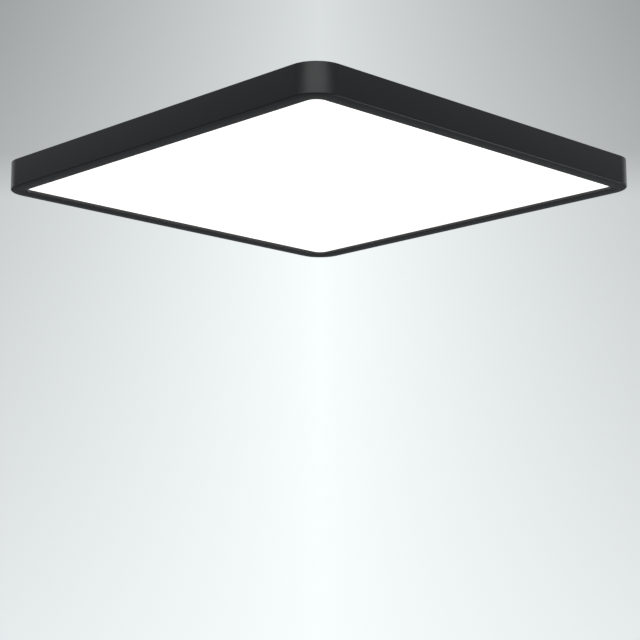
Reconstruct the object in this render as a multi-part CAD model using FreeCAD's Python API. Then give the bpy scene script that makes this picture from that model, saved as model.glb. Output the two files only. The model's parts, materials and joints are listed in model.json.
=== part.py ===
"""Square edge-lit flush mount ceiling light, built from its separate pieces.

Millimetres. Z is up and z = 0 is the ceiling. The origin is the middle of the mounting strap's upper face.
The strap stays on the ceiling. The lamp hangs under it on two collared studs, which sit in arc-shaped
keyholes, and it turns about Z to lock: seen from below, clockwise locks and anticlockwise frees it.
"""

import FreeCAD, Part
import math
import os

from FreeCAD import Vector

# --------------------------------------------------------------------------------------------------
# Driving dimensions
# --------------------------------------------------------------------------------------------------

# Frame: one black moulding, side wall and face bezel together.
side = 400.0
height = 25.5
corner_radius = 24.0
bezel = 14.5
wall = 2.0
lip = 2.6
rim_gap = 0.3
face_round = 1.0
lip_chamfer = 0.4
rim_chamfer = 0.4

# Optical stack, from the bezel upwards.
diffuser_thickness = 2.0
guide_thickness = 3.0
film_thickness = 0.25
foam_thickness = 1.5
stack_gap = 0.1

# Pressed steel back plate.
plate_thickness = 0.8
plate_gap = 0.4
bead_height = 1.2
bead_width = 8.0
bead_draft = 0.8
bead_end_cut = 2.4
bead_inset = 29.0
edge_bead_end = 75.0
field_bead_length = 220.0
field_bead_pitch = 42.0
field_bead_first = 62.0
short_bead_length = 96.0
short_bead_x = 118.0

# Screws that hold the back plate to the frame, and the frame's lugs for them.
screw_inset = 5.8
corner_screw_inset = 3.5
lug_width = 6.0
plate_screw_radius = 1.35
plate_screw_length = 6.0
plate_screw_head_radius = 2.8
plate_screw_head_height = 1.7
screw_clearance = 0.35
thread_clearance = 0.05
pilot_floor = 0.3

# Gussets between the frame's wall and lip.
gusset_thickness = 1.5
gusset_height = 5.5
gusset_reach = 6.6
gusset_pitch = 35.0
gusset_stations = (-4, -3, -2, -1, 1, 2, 3, 4)

# LED rails, boards and LEDs, one set on each side of the light guide.
rail_inset = 9.4
rail_thickness = 1.0
rail_bend = 0.25
rail_leg = 10.0
rail_end_gap = 9.0
board_thickness = 1.0
board_end_gap = 6.0
chip_end_room = 5.5
chip_pitch = 12.0
chip_length = 3.5
chip_width = 2.8
chip_height = 0.7
guide_gap = 0.3
film_inset = 0.2
foam_gap = 0.6
foam_corner_radius = 6.0
diffuser_gap = 0.2
foam_window = 8.0

# Mounting strap, fixed to the ceiling box.
strap_length = 150.0
strap_width = 30.0
strap_thickness = 1.5
strap_fold = 4.0
strap_corner = 6.0
bend_radius = 1.0
cable_hole_radius = 10.0
box_slot_spacing = 79.4
box_slot_length = 16.0
box_slot_radius = 2.4
ground_x = -21.0
ground_collar_radius = 3.6
ground_collar_height = 1.6
ground_screw_radius = 2.0
ground_screw_length = 3.0
ground_head_radius = 4.6
ground_head_height = 2.6
ground_washer_height = 0.8
ground_hex_width = 7.0

# Collared studs in the strap. The lamp hangs on their heads.
stud_circle = 58.0
stud_tenon_radius = 2.5
stud_collar_radius = 4.0
stud_collar_height = 3.4
stud_neck_radius = 2.2
stud_head_radius = 4.5
stud_head_height = 2.0
stud_head_chamfer = 0.6
hang_gap = 0.1
fit_gap = 0.02

# Lock springs on the strap. Their roof-shaped detents snap into the windows in the hangers.
spring_thickness = 0.4
spring_width = 6.0
spring_y = -9.0
spring_start = 33.0
spring_bend_start = 41.0
spring_bend_end = 51.0
spring_end = 62.0
spring_lift = 0.3
spring_bend_radius = 1.5
detent_x = 56.0
detent_length = 5.0
detent_width = 4.8
detent_depth = 1.0
detent_clearance = 0.25
spring_rivet_x = 37.0
spring_rivet_radius = 1.5
spring_rivet_head_radius = 2.6
spring_rivet_head_height = 0.8

# Keyhole hangers on the back plate.
twist_degrees = 15.0
hanger_thickness = 1.2
hanger_web = 24.0
hanger_foot = 9.0
hanger_back = 17.0
hanger_front = 26.0
hanger_corner = 3.0
keyhole_side_gap = 0.3
keyhole_entry_gap = 0.75
hanger_rivet_radius = 1.6
hanger_rivet_head_radius = 3.0
hanger_rivet_head_height = 1.0
hanger_rivet_tail_radius = 2.6
hanger_rivet_tail_height = 0.9

# Driver: cased power supply on the back plate.
driver_x = 25.0
driver_y = -85.0
driver_length = 124.0
driver_width = 46.0
driver_tray_height = 10.0
driver_wall = 1.4
driver_floor = 1.2
driver_corner = 3.0
lid_thickness = 1.6
lid_rim = 1.0
lid_rim_depth = 2.0
lid_gap = 0.15
lid_rib_count = 9
lid_rib_pitch = 6.0
lid_rib_width = 1.4
lid_rib_height = 0.5
lid_rib_length = 30.0
lid_rib_x = -16.0
lid_screw_inset = 5.0
lid_post_radius = 2.6
lid_screw_radius = 1.1
lid_screw_length = 5.0
lid_screw_head_radius = 2.1
lid_screw_head_height = 1.0
ear_offset = 45.0
ear_length = 9.0
ear_width = 12.0
ear_thickness = 2.0
ear_round = 3.0

# Driver board and the parts on it. Each x is measured in from the driver's west or east end, and the
# transformer's from its middle.
board_standoff = 1.0
driver_board_thickness = 1.6
driver_board_gap = 0.8
post_gap = 0.4
transformer_x = 6.0
core_length = 20.0
core_width = 16.0
core_height = 5.8
core_leg = 4.0
winding_gap = 0.2
main_capacitor_west = 40.0
main_capacitor_y = 9.0
main_capacitor_radius = 3.9
main_capacitor_length = 22.0
output_capacitor_east = 32.0
output_capacitor_y = 10.0
output_capacitor_radius = 2.9
output_capacitor_length = 12.0
cutout_gap = 0.5
film_capacitor_west = 18.0
film_capacitor_y = 8.0
film_capacitor_size = (13.0, 6.0, 5.6)
film_capacitor_chamfer = 0.6
choke_west = 20.0
choke_y = -6.0
choke_radius = 6.4
choke_bore_radius = 1.8
choke_height = 4.8
fuse_west = 34.0
fuse_y = -8.0
fuse_radius = 1.8
fuse_length = 10.0
west_chips = ((45.0, -8.0), (53.5, -15.0))
east_chips = ((42.2, -14.0), (42.2, 14.0))
power_chip_size = (5.2, 4.4, 1.8)
part_gap = 0.05

# Colour temperature slide switch, three positions.
switch_east = 18.0
switch_y = -2.0
switch_length = 13.0
switch_width = 6.4
switch_wall = 0.6
switch_travel = 2.3
knob_base_length = 3.0
knob_base_height = 1.6
knob_stem = 2.0
knob_proud = 0.9
knob_gap = 0.2

# Terminal block on the driver's west end: three push-in poles and their release buttons.
terminal_gap = 0.2
terminal_depth = 20.0
terminal_width = 30.0
terminal_height = 10.5
terminal_flange = 6.0
terminal_flange_thickness = 1.6
terminal_flange_depth = 10.0
terminal_flange_round = 2.0
terminal_chamfer = 0.8
pole_pitch = 9.0
entry_size = 3.4
entry_depth = 12.0
entry_mouth = 4.6
entry_mouth_depth = 1.6
entry_height = 4.2
button_length = 4.6
button_width = 3.6
button_gap = 0.2
button_proud = 1.6
button_travel = 1.2
button_back = 8.0
button_round = 0.5
clamp_thickness = 0.4
clamp_width = 2.6
clamp_length = 7.0
clamp_rise = 2.2
clamp_foot = 2.0
clamp_bend = 0.6

# Brass bars from the terminal block's clamps onto the driver board.
bar_width = 2.0
bar_thickness = 0.6
bar_reach = 6.0
bar_slot_gap = 0.1
bar_clamp_gap = 0.3

# Output socket on the driver board's east end, with two pins.
socket_length = 7.5
socket_width = 8.0
socket_height = 4.0
socket_wall = 0.7
socket_depth = 5.0
socket_gap = 0.2
pin_size = 0.6
pin_length = 4.2
pin_pitch = 2.5

# Small fasteners have few sides, and so have their holes and posts: six on a shank, twelve on the others.
shank_sides = 6
head_sides = 12

# Small screws through the driver's ears and the terminal's flanges, and the earth point.
small_screw_radius = 1.5
small_screw_head_radius = 2.8
small_screw_head_height = 1.7
screw_tail = 1.2
earth_x = -47.0
earth_y = -116.0
washer_radius = 4.0
washer_thickness = 0.6

# Grommet where the light's supply goes down through the back plate, and the socket on the LED board.
grommet_angle = 15.0
grommet_orbit = 16.5
grommet_hole_radius = 3.4
grommet_bore_radius = 2.2
grommet_flange_radius = 4.6
grommet_flange_height = 1.0
connector_length = 4.0
connector_height = 3.0
connector_gap = 0.1

# Flat links that join the LED boards round three of the corners.
link_thickness = 0.3
link_height = 2.6
link_gap = 0.05

# --------------------------------------------------------------------------------------------------
# Levels and widths that follow from them
# --------------------------------------------------------------------------------------------------

half = side / 2
z_rim = -rim_gap
z_face = -height
z_lip = z_face + lip
z_guide = z_lip + diffuser_thickness + stack_gap
z_film = z_guide + guide_thickness + stack_gap
z_foam = z_film + film_thickness
z_plate = z_foam + foam_thickness
z_back = z_plate + plate_thickness
corner_centre = half - corner_radius
board_length = 2 * (corner_centre - board_end_gap)
rail_length = 2 * (corner_centre - rail_end_gap)
chip_count = int((board_length - 2 * chip_end_room) / chip_pitch) + 1

rail_face = half - rail_inset
board_face = rail_face - rail_thickness
chip_face = board_face - board_thickness
guide_half = chip_face - chip_height - guide_gap
diffuser_half = rail_face - diffuser_gap
z_guide_middle = z_guide + guide_thickness / 2

z_hanger = -(strap_thickness + stud_collar_height + hang_gap)
z_driver_board = z_back + driver_floor + board_standoff
z_board_top = z_driver_board + driver_board_thickness
z_tray_top = z_back + driver_tray_height
z_lid_top = z_tray_top + lid_thickness

driver_west = driver_x - driver_length / 2
driver_east = driver_x + driver_length / 2
terminal_back_x = driver_west - terminal_gap
pole_offsets = [k * pole_pitch for k in (-1, 0, 1)]
POLE_NAMES = ("earth", "neutral", "live")
SIDE_NAMES = ("east", "north", "west", "south")

Z_AXIS = Vector(0, 0, 1)
ORIGIN = Vector(0, 0, 0)


# --------------------------------------------------------------------------------------------------
# Shape helpers
# --------------------------------------------------------------------------------------------------


def polar(radius, degrees, z=0.0):
    angle = math.radians(degrees)
    return Vector(radius * math.cos(angle), radius * math.sin(angle), z)


def turned(shape, degrees, centre=ORIGIN, axis=Z_AXIS):
    copy = shape.copy()
    copy.rotate(centre, axis, degrees)
    return copy


def moved(shape, x=0.0, y=0.0, z=0.0):
    copy = shape.copy()
    copy.translate(Vector(x, y, z))
    return copy


def line(a, b):
    return Part.LineSegment(a, b).toShape()


def arc(a, middle, b):
    return Part.Arc(a, middle, b).toShape()


def rounded_outline(half_x, half_y, radius, z, centre=(0.0, 0.0)):
    """Closed wire of a rectangle with round corners. With half_y equal to radius it is a slot."""
    arcs = []
    for quarter, (sx, sy) in enumerate([(1, 1), (-1, 1), (-1, -1), (1, -1)]):
        middle = Vector(centre[0] + sx * (half_x - radius), centre[1] + sy * (half_y - radius), z)
        arcs.append([middle + polar(radius, 90 * quarter + turn) for turn in (0, 45, 90)])
    edges = []
    for quarter in range(4):
        edges.append(arc(*arcs[quarter]))
        start, end = arcs[quarter][2], arcs[(quarter + 1) % 4][0]
        if start.distanceToPoint(end) > 1e-6:
            edges.append(line(start, end))
    return Part.Wire(edges)


def rounded_plate(half_x, half_y, radius, z, thickness, centre=(0.0, 0.0)):
    return Part.Face(rounded_outline(half_x, half_y, radius, z, centre)).extrude(Vector(0, 0, thickness))


def block(x0, x1, y0, y1, z0, z1):
    return Part.makeBox(x1 - x0, y1 - y0, z1 - z0, Vector(x0, y0, z0))


def cylinder(radius, z0, z1, x=0.0, y=0.0):
    """Upright cylinder, drawn as two half turns."""
    middle = Vector(x, y, z0)
    start, top, end, bottom = [middle + polar(radius, 90 * k) for k in range(4)]
    outline = Part.Wire([arc(start, top, end), arc(end, bottom, start)])
    return Part.Face(outline).extrude(Vector(0, 0, z1 - z0))


def spun(profile):
    """Turned piece about the Z axis, made as two half turns. profile lists its (radius, z) corners."""
    face = Part.Face(Part.makePolygon([Vector(x, 0, z) for x, z in profile]))
    half_turn = face.revolve(ORIGIN, Z_AXIS, 180)
    return half_turn.fuse(turned(half_turn, 180))


def arc_slot(orbit, start, end, radius, z0, z1):
    """Slot of that end radius, bent round the Z axis between two angles."""
    middle = (start + end) / 2

    def run(r, a, b):
        return arc(polar(r, a, z0), polar(r, middle, z0), polar(r, b, z0))

    def cap(angle, side, first, last):
        tip = polar(orbit, angle, z0) + polar(radius, angle + side)
        return arc(polar(first, angle, z0), tip, polar(last, angle, z0))

    inner, outer = orbit - radius, orbit + radius
    edges = [run(outer, start, end), cap(end, 90, outer, inner)]
    edges += [run(inner, end, start), cap(start, -90, inner, outer)]
    return Part.Face(Part.Wire(edges)).extrude(Vector(0, 0, z1 - z0))


def bent_sheet(points, thickness, width, inside_radius):
    """Folded sheet metal. points run along one face in the XZ plane, with the metal on their right.

    The sheet is width wide along Y, half on each side of y = 0.
    """
    points = [Vector(x, 0, z) for x, z in points]
    near, far = [], []
    cursor_near = points[0]
    headings = [(b - a).normalize() for a, b in zip(points, points[1:])]
    rights = [Vector(h.z, 0, -h.x) for h in headings]
    cursor_far = points[0] + rights[0] * thickness
    for k in range(1, len(points) - 1):
        h_in, h_out, r_in, r_out = headings[k - 1], headings[k], rights[k - 1], rights[k]
        turn = math.acos(max(-1.0, min(1.0, h_in.dot(h_out))))
        left_turn = r_in.dot(h_out) < 0
        radius = inside_radius if left_turn else inside_radius + thickness
        reach = radius * math.tan(turn / 2)
        start, end = points[k] - h_in * reach, points[k] + h_out * reach
        centre = start - r_in * radius if left_turn else start + r_in * radius
        to_corner = (points[k] - centre).normalize()
        far_radius = radius + thickness if left_turn else radius - thickness
        near += [line(cursor_near, start), arc(start, centre + to_corner * radius, end)]
        far_start, far_end = start + r_in * thickness, end + r_out * thickness
        far += [line(cursor_far, far_start), arc(far_start, centre + to_corner * far_radius, far_end)]
        cursor_near, cursor_far = end, far_end
    last_far = points[-1] + rights[-1] * thickness
    near.append(line(cursor_near, points[-1]))
    far.append(line(cursor_far, last_far))
    edges = near + [line(points[-1], last_far)] + far + [line(points[0] + rights[0] * thickness, points[0])]
    face = Part.Face(Part.Wire(Part.__sortEdges__(edges)))
    return moved(face.extrude(Vector(0, width, 0)), y=-width / 2)


def side_copies(shape):
    """The same piece on the east, north, west and south sides."""
    return [turned(shape, 90 * k) for k in range(4)]


def joined(shapes):
    return shapes[0].multiFuse(shapes[1:])


def bore_all(shape, cutters):
    return shape.cut(Part.makeCompound(cutters))


def prism(points, direction):
    """Closed outline of points, pushed along direction."""
    return Part.Face(Part.makePolygon(points + points[:1])).extrude(direction)


def peg(radius, sides, z0, z1, x=0.0, y=0.0):
    """Upright bar with that many flat sides, for small fasteners."""
    points = [Vector(x, y, z0) + polar(radius, 360 / sides * k) for k in range(sides)]
    return prism(points, Vector(0, 0, z1 - z0))


def fastener_hole(radius, z0, z1, x, y):
    """Cutter for a small fastener's hole. Its corners line up with the shank's."""
    return peg(radius, head_sides, z0, z1, x, y)


def pan_screw(x, y, z_seat, radius, length, head_radius, head_height):
    """Screw that points down, with its head above its seat."""
    head = peg(head_radius, head_sides, z_seat, z_seat + head_height, x, y)
    return head.fuse(peg(radius, shank_sides, z_seat - length, z_seat, x, y))


def cut_outline(half_x, half_y, cut, z, centre=(0.0, 0.0)):
    """Closed wire of a rectangle whose corners are cut at 45 degrees."""
    x, y = half_x - cut, half_y - cut
    quarter = [(half_x, y), (x, half_y), (-x, half_y), (-half_x, y)]
    corners = quarter + [(-px, -py) for px, py in quarter]
    points = [Vector(centre[0] + px, centre[1] + py, z) for px, py in corners]
    return Part.makePolygon(points + points[:1])


def export(name, *solids):
    shape = solids[0] if len(solids) == 1 else Part.makeCompound(list(solids))
    shape.exportStep(os.path.join("parts", name + ".step"))


# --------------------------------------------------------------------------------------------------
# Frame, back plate and their screws
# --------------------------------------------------------------------------------------------------


def plate_screw_places():
    """One screw in the middle of each side and one in each corner."""
    orbit = corner_radius - wall - corner_screw_inset
    corner = Vector(corner_centre, corner_centre, 0) + polar(orbit, 45)
    places = []
    for quarter in range(4):
        for place in (Vector(half - screw_inset, 0, 0), corner):
            places.append(turned(Part.Vertex(place), 90 * quarter).Point)
    return places


def frame_section():
    """Wall and lip in section, at the east side's middle. The face's round is drawn as two flats."""

    def at(inward, z):
        return Vector(half - inward, 0, z)

    round_middle = face_round * (1 - math.sqrt(0.5))
    outline = [
        at(face_round, z_face),
        at(bezel - lip_chamfer, z_face),
        at(bezel, z_face + lip_chamfer),
        at(bezel, z_lip),
        at(wall, z_lip),
        at(wall, z_rim),
        at(rim_chamfer, z_rim),
        at(0, z_rim - rim_chamfer),
        at(0, z_face + face_round),
        at(round_middle, z_face + round_middle),
        at(face_round, z_face),
    ]
    return Part.Face(Part.makePolygon(outline))


def screw_lug(place):
    """Block on the lip, moulded against the wall, for one screw."""
    in_corner = abs(abs(place.x) - abs(place.y)) < 1.0
    reach = corner_screw_inset + wall / 2 if in_corner else screw_inset - wall / 2
    lug = block(-lug_width / 2, reach, -lug_width / 2, lug_width / 2, z_lip, z_plate)
    return moved(turned(lug, math.degrees(math.atan2(place.y, place.x))), place.x, place.y)


def bezel_frame():
    section = frame_section()
    straight = moved(section, y=-corner_centre).extrude(Vector(0, 2 * corner_centre, 0))
    corner_axis = Vector(corner_centre, corner_centre, 0)
    corner = moved(section, y=corner_centre).revolve(corner_axis, Z_AXIS, 90)
    root, tip = half - wall / 2, half - wall - gusset_reach
    z_root = z_lip - lip / 2
    profile = [(root, z_root), (tip, z_root), (tip, z_lip + diffuser_thickness / 2)]
    profile += [(half - wall, z_lip + gusset_height), (root, z_lip + gusset_height)]
    points = [Vector(x, -gusset_thickness / 2, z) for x, z in profile]
    gusset = prism(points, Vector(0, gusset_thickness, 0))
    pieces = side_copies(straight) + side_copies(corner)
    for k in gusset_stations:
        pieces += side_copies(moved(gusset, y=k * gusset_pitch))
    places = plate_screw_places()
    pieces += [screw_lug(p) for p in places]
    frame = joined(pieces).removeSplitter()
    pilot_radius = plate_screw_radius + thread_clearance
    pilot_end = z_plate - plate_screw_length + plate_thickness - pilot_floor
    return bore_all(frame, [fastener_hole(pilot_radius, pilot_end, z_plate, p.x, p.y) for p in places])


def back_plate_screws():
    sizes = (plate_screw_radius, plate_screw_length, plate_screw_head_radius, plate_screw_head_height)
    return [pan_screw(p.x, p.y, z_back, *sizes) for p in plate_screw_places()]


def bead(length, width, turn, x, y):
    """Pressed rib with drafted sides: the raised form and the hollow under it, as two solids."""

    def loft(inset, z_top):
        levels = ((inset, z_plate), (inset + bead_draft, z_top))
        outlines = [cut_outline(length / 2 - d, width / 2 - d, bead_end_cut - d / 2, z) for d, z in levels]
        return Part.makeLoft(outlines, True, True)

    form, hollow = loft(0, z_back + bead_height), loft(plate_thickness, z_plate + bead_height)
    return [moved(turned(s, turn), x, y) for s in (form, hollow)]


def bead_layout():
    """Ribs along the four edges, across the free half, and one beside each hanger."""
    edge = half - bead_inset
    edge_bead_length = side - 2 * edge_bead_end
    layout = [(edge_bead_length, 90, edge, 0), (edge_bead_length, 90, -edge, 0)]
    layout += [(edge_bead_length, 0, 0, edge), (edge_bead_length, 0, 0, -edge)]
    layout += [(field_bead_length, 0, 0, field_bead_first + k * field_bead_pitch) for k in range(2)]
    behind_driver = driver_y - driver_width / 2 - field_bead_pitch / 2
    layout += [(field_bead_length / 2, 0, -driver_x, behind_driver)]
    layout += [(short_bead_length, 90, s * short_bead_x, 0) for s in (-1, 1)]
    return layout


def hanger_rivet_places():
    """One rivet in the middle of each foot."""
    y = (hanger_front - hanger_back) / 2
    places = []
    for foot in (-1, 1):
        x = stud_circle + foot * (hanger_web / 2 + hanger_foot / 2 + bend_radius / 2)
        places += [Vector(x, y, 0), Vector(-x, -y, 0)]
    return places


def driver_screw_places():
    reach = driver_width / 2 + ear_length / 2
    return [Vector(driver_x - s * ear_offset, driver_y + s * reach, 0) for s in (-1, 1)]


def terminal_screw_places():
    reach = terminal_width / 2 + terminal_flange / 2
    x = terminal_back_x - terminal_depth / 2
    return [Vector(x, driver_y + s * reach, 0) for s in (-1, 1)]


def grommet_place():
    return Vector(corner_centre, -corner_centre, 0) + polar(grommet_orbit, -grommet_angle)


def back_plate():
    plate_half = half - wall - plate_gap
    plate_radius = corner_radius - wall - plate_gap
    plate = rounded_plate(plate_half, plate_half, plate_radius, z_plate, plate_thickness)
    beads = [bead(length, bead_width, turn, x, y) for length, turn, x, y in bead_layout()]
    plate = joined([plate] + [form for form, hollow in beads])
    cutters = [hollow for form, hollow in beads]

    def hole(place, radius):
        return fastener_hole(radius, z_plate - 1, z_back + 1, place.x, place.y)

    cutters += [hole(p, plate_screw_radius + screw_clearance) for p in plate_screw_places()]
    cutters += [hole(p, hanger_rivet_radius + fit_gap) for p in hanger_rivet_places()]
    small = driver_screw_places() + terminal_screw_places() + [Vector(earth_x, earth_y, 0)]
    cutters += [hole(p, small_screw_radius + thread_clearance) for p in small]
    p = grommet_place()
    cutters.append(cylinder(grommet_hole_radius, z_plate - 1, z_back + 1, p.x, p.y))
    return bore_all(plate, cutters)


# --------------------------------------------------------------------------------------------------
# Optical stack
# --------------------------------------------------------------------------------------------------


def sheet_in_corner(sheet_half, z, thickness):
    """Square sheet whose corners run concentric with the frame's."""
    return rounded_plate(sheet_half, sheet_half, sheet_half - corner_centre, z, thickness)


def foam_pad():
    foam_half = rail_face - rail_leg - foam_gap
    foam = rounded_plate(foam_half, foam_half, foam_corner_radius, z_foam, foam_thickness)
    fasteners = hanger_rivet_places() + driver_screw_places() + terminal_screw_places()
    fasteners.append(Vector(earth_x, earth_y, 0))
    reach = foam_window / 2
    windows = []
    for p in fasteners:
        windows.append(block(p.x - reach, p.x + reach, p.y - reach, p.y + reach, z_foam - 1, z_plate + 1))
    return bore_all(foam, windows)


def led_rail():
    """Aluminium angle on the east side: one leg under the back plate, one behind the board."""
    bottom = z_guide - stack_gap + part_gap
    points = [(rail_face - rail_leg, z_plate), (rail_face, z_plate), (rail_face, bottom)]
    return bent_sheet(points, rail_thickness, rail_length, rail_bend)


def led_board():
    top = z_plate - rail_thickness - rail_bend - part_gap
    bottom = z_guide - stack_gap + part_gap
    return block(chip_face, board_face, -board_length / 2, board_length / 2, bottom, top)


def led_chips():
    chip = block(
        chip_face - chip_height,
        chip_face,
        -chip_length / 2,
        chip_length / 2,
        z_guide_middle - chip_width / 2,
        z_guide_middle + chip_width / 2,
    )
    first = -(chip_count - 1) * chip_pitch / 2
    return [moved(chip, y=first + k * chip_pitch) for k in range(chip_count)]


def corner_links():
    """Thin flat links round each corner but the one where the supply comes in."""
    middle = (chip_face + board_face) / 2
    z0 = z_guide_middle - link_height / 2
    outer, inner = middle + link_thickness / 2, middle - link_thickness / 2
    ring = rounded_plate(outer, outer, outer - corner_centre, z0, link_height)
    ring = ring.cut(rounded_plate(inner, inner, inner - corner_centre, z0, link_height))
    start = board_length / 2 + link_gap
    link = ring.common(block(start, half, start, half, z0, z0 + link_height))
    return [turned(link, 90 * k) for k in range(3)]


# --------------------------------------------------------------------------------------------------
# Ceiling side: strap, studs, lock springs, ground screw
# --------------------------------------------------------------------------------------------------


def mounting_strap():
    edge = strap_width / 2
    points = [(-edge, -strap_fold), (-edge, 0), (edge, 0), (edge, -strap_fold)]
    channel = turned(bent_sheet(points, strap_thickness, strap_length, bend_radius), 90)
    outline = rounded_plate(strap_length / 2, edge, strap_corner, -strap_fold, strap_fold)
    strap = channel.common(outline)
    z_under = -strap_thickness
    collar = cylinder(ground_collar_radius, z_under - ground_collar_height, z_under, ground_x)
    strap = strap.fuse(collar)
    z_cut = -2 * strap_thickness
    slot = rounded_plate(box_slot_length / 2, box_slot_radius, box_slot_radius, z_cut, 3 * strap_thickness)
    cutters = [cylinder(cable_hole_radius, z_cut, strap_thickness)]
    cutters += [moved(slot, s * box_slot_spacing / 2) for s in (-1, 1)]
    cutters += [cylinder(stud_tenon_radius + fit_gap, z_cut, 1, s * stud_circle) for s in (-1, 1)]
    cutters.append(fastener_hole(ground_screw_radius + thread_clearance, -strap_fold, 1, ground_x, 0))
    rivet_hole = fastener_hole(spring_rivet_radius + fit_gap, z_cut, 1, spring_rivet_x, spring_y)
    cutters += [rivet_hole, turned(rivet_hole, 180)]
    return bore_all(strap, cutters)


def hanging_stud():
    """Turned stud: tenon in the strap, collar, neck through the keyhole, head under the hanger."""
    collar_end = -strap_thickness - stud_collar_height
    head_top = z_hanger - hanger_thickness - hang_gap
    head_end = head_top - stud_head_height
    profile = [
        (0, 0),
        (stud_tenon_radius, 0),
        (stud_tenon_radius, -strap_thickness),
        (stud_collar_radius, -strap_thickness),
        (stud_collar_radius, collar_end),
        (stud_neck_radius, collar_end),
        (stud_neck_radius, head_top),
        (stud_head_radius, head_top),
        (stud_head_radius, head_end + stud_head_chamfer),
        (stud_head_radius - stud_head_chamfer, head_end),
        (0, head_end),
        (0, 0),
    ]
    return moved(spun(profile), x=stud_circle)


def detent_roof(z_base):
    """Solid under the detent's roof: its ridge runs outwards from the lamp's middle."""
    x0 = detent_x - detent_length / 2
    reach = detent_width / 2
    points = [(-reach, z_base), (0, z_base - detent_depth), (reach, z_base)]
    return prism([Vector(x0, spring_y + y, z) for y, z in points], Vector(detent_length, 0, 0))


def lock_spring():
    """Spring steel strip, riveted at its inner end, with a pressed roof-shaped detent near its free end."""
    z_under = z_hanger + spring_lift
    z_flat = z_under + spring_thickness
    points = [
        (spring_start, -strap_thickness),
        (spring_bend_start, -strap_thickness),
        (spring_bend_end, z_flat),
        (spring_end, z_flat),
    ]
    strip = moved(bent_sheet(points, spring_thickness, spring_width, spring_bend_radius), y=spring_y)
    hole = fastener_hole(spring_rivet_radius + fit_gap, -2 * strap_thickness, 0, spring_rivet_x, spring_y)
    return strip.fuse(detent_roof(z_under)).cut(detent_roof(z_flat)).cut(hole)


def spring_rivet():
    seat = -strap_thickness - spring_thickness
    place = (spring_rivet_x, spring_y)
    shank = peg(spring_rivet_radius, shank_sides, seat, 0, *place)
    head = peg(spring_rivet_head_radius, head_sides, seat - spring_rivet_head_height, seat, *place)
    return shank.fuse(head)


def ground_screw():
    """Hex washer head screw, driven up into the strap's collar."""
    seat = -strap_thickness - ground_collar_height
    shank = peg(ground_screw_radius, shank_sides, seat, seat + ground_screw_length, ground_x)
    washer = peg(ground_head_radius, head_sides, seat - ground_washer_height, seat, ground_x)
    head = peg(ground_hex_width / math.sqrt(3), 6, seat - ground_head_height, seat, ground_x)
    return joined([shank, washer, head])


# --------------------------------------------------------------------------------------------------
# Keyhole hangers
# --------------------------------------------------------------------------------------------------


def keyhole_hanger():
    """Hat-shaped steel hanger at the east stud, with its arc keyhole and detent hole."""
    reach = hanger_web / 2
    foot_top = z_back + hanger_thickness
    points = [
        (-reach - hanger_foot, foot_top),
        (-reach, foot_top),
        (-reach, z_hanger),
        (reach, z_hanger),
        (reach, foot_top),
        (reach + hanger_foot, foot_top),
    ]
    length = hanger_back + hanger_front
    middle = (stud_circle, (hanger_front - hanger_back) / 2)
    hat = moved(bent_sheet(points, hanger_thickness, length, bend_radius), *middle)
    tall = z_hanger - z_back
    outline = cut_outline(reach + hanger_foot, length / 2, hanger_corner, z_back, middle)
    hat = hat.common(Part.Face(outline).extrude(Vector(0, 0, tall)))
    slot_radius = stud_neck_radius + keyhole_side_gap
    z0, z1 = z_hanger - 2 * hanger_thickness, z_hanger + 1
    slot = arc_slot(stud_circle, 0, twist_degrees, slot_radius, z0, z1)
    entry = polar(stud_circle, twist_degrees)
    cutters = [slot, cylinder(stud_head_radius + keyhole_entry_gap, z0, z1, entry.x, entry.y)]
    reach_x = detent_length / 2 + detent_clearance
    reach_y = detent_width / 2 * (1 - spring_lift / detent_depth) + detent_clearance
    window = (detent_x - reach_x, detent_x + reach_x, spring_y - reach_y, spring_y + reach_y)
    cutters.append(block(*window, z0, z1))
    for p in hanger_rivet_places():
        if p.x > 0:
            cutters.append(fastener_hole(hanger_rivet_radius + fit_gap, z_back - 1, foot_top + 1, p.x, p.y))
    return bore_all(hat, cutters)


def hanger_rivets():
    """Rivets through the hangers' feet and the back plate, with their tails under the plate."""
    rivets = []
    seat = z_back + hanger_thickness
    for p in hanger_rivet_places():
        z_head, z_tail = seat + hanger_rivet_head_height, z_plate - hanger_rivet_tail_height
        head = peg(hanger_rivet_head_radius, head_sides, seat, z_head, p.x, p.y)
        shank = peg(hanger_rivet_radius, shank_sides, z_plate, seat, p.x, p.y)
        tail = peg(hanger_rivet_tail_radius, head_sides, z_tail, z_plate, p.x, p.y)
        rivets.append(joined([head, shank, tail]))
    return rivets


# --------------------------------------------------------------------------------------------------
# Driver
# --------------------------------------------------------------------------------------------------


def lid_screw_places():
    dx = driver_length / 2 - lid_screw_inset
    dy = driver_width / 2 - lid_screw_inset
    return [Vector(driver_x + sx * dx, driver_y + sy * dy, 0) for sx, sy in ((-1, 1), (1, -1))]


def bar_box(offset, gap):
    """Space of one contact bar, grown by gap: from the terminal's clamp to over the driver board."""
    z0 = z_board_top + part_gap
    x0 = terminal_back_x - (terminal_depth - entry_depth + bar_clamp_gap)
    x1 = driver_west + bar_reach
    y0, y1 = driver_y + offset - bar_width / 2, driver_y + offset + bar_width / 2
    return block(x0, x1 + gap, y0 - gap, y1 + gap, z0 - gap, z0 + bar_thickness + gap)


def socket_box(gap):
    """Space of the output socket, grown by gap sideways. It ends flush with the driver's east end."""
    z0 = z_board_top + part_gap
    x1 = driver_east
    y0, y1 = driver_y - socket_width / 2, driver_y + socket_width / 2
    return block(x1 - socket_length, x1 + gap, y0 - gap, y1 + gap, z0, z0 + socket_height + gap)


def output_socket():
    z0, x1 = z_board_top + part_gap, driver_east
    y0, y1 = driver_y - socket_width / 2 + socket_wall, driver_y + socket_width / 2 - socket_wall
    room = block(x1 - socket_depth, x1 + 1, y0, y1, z0 + socket_wall, z0 + socket_height - socket_wall)
    return socket_box(0).cut(room)


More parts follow.
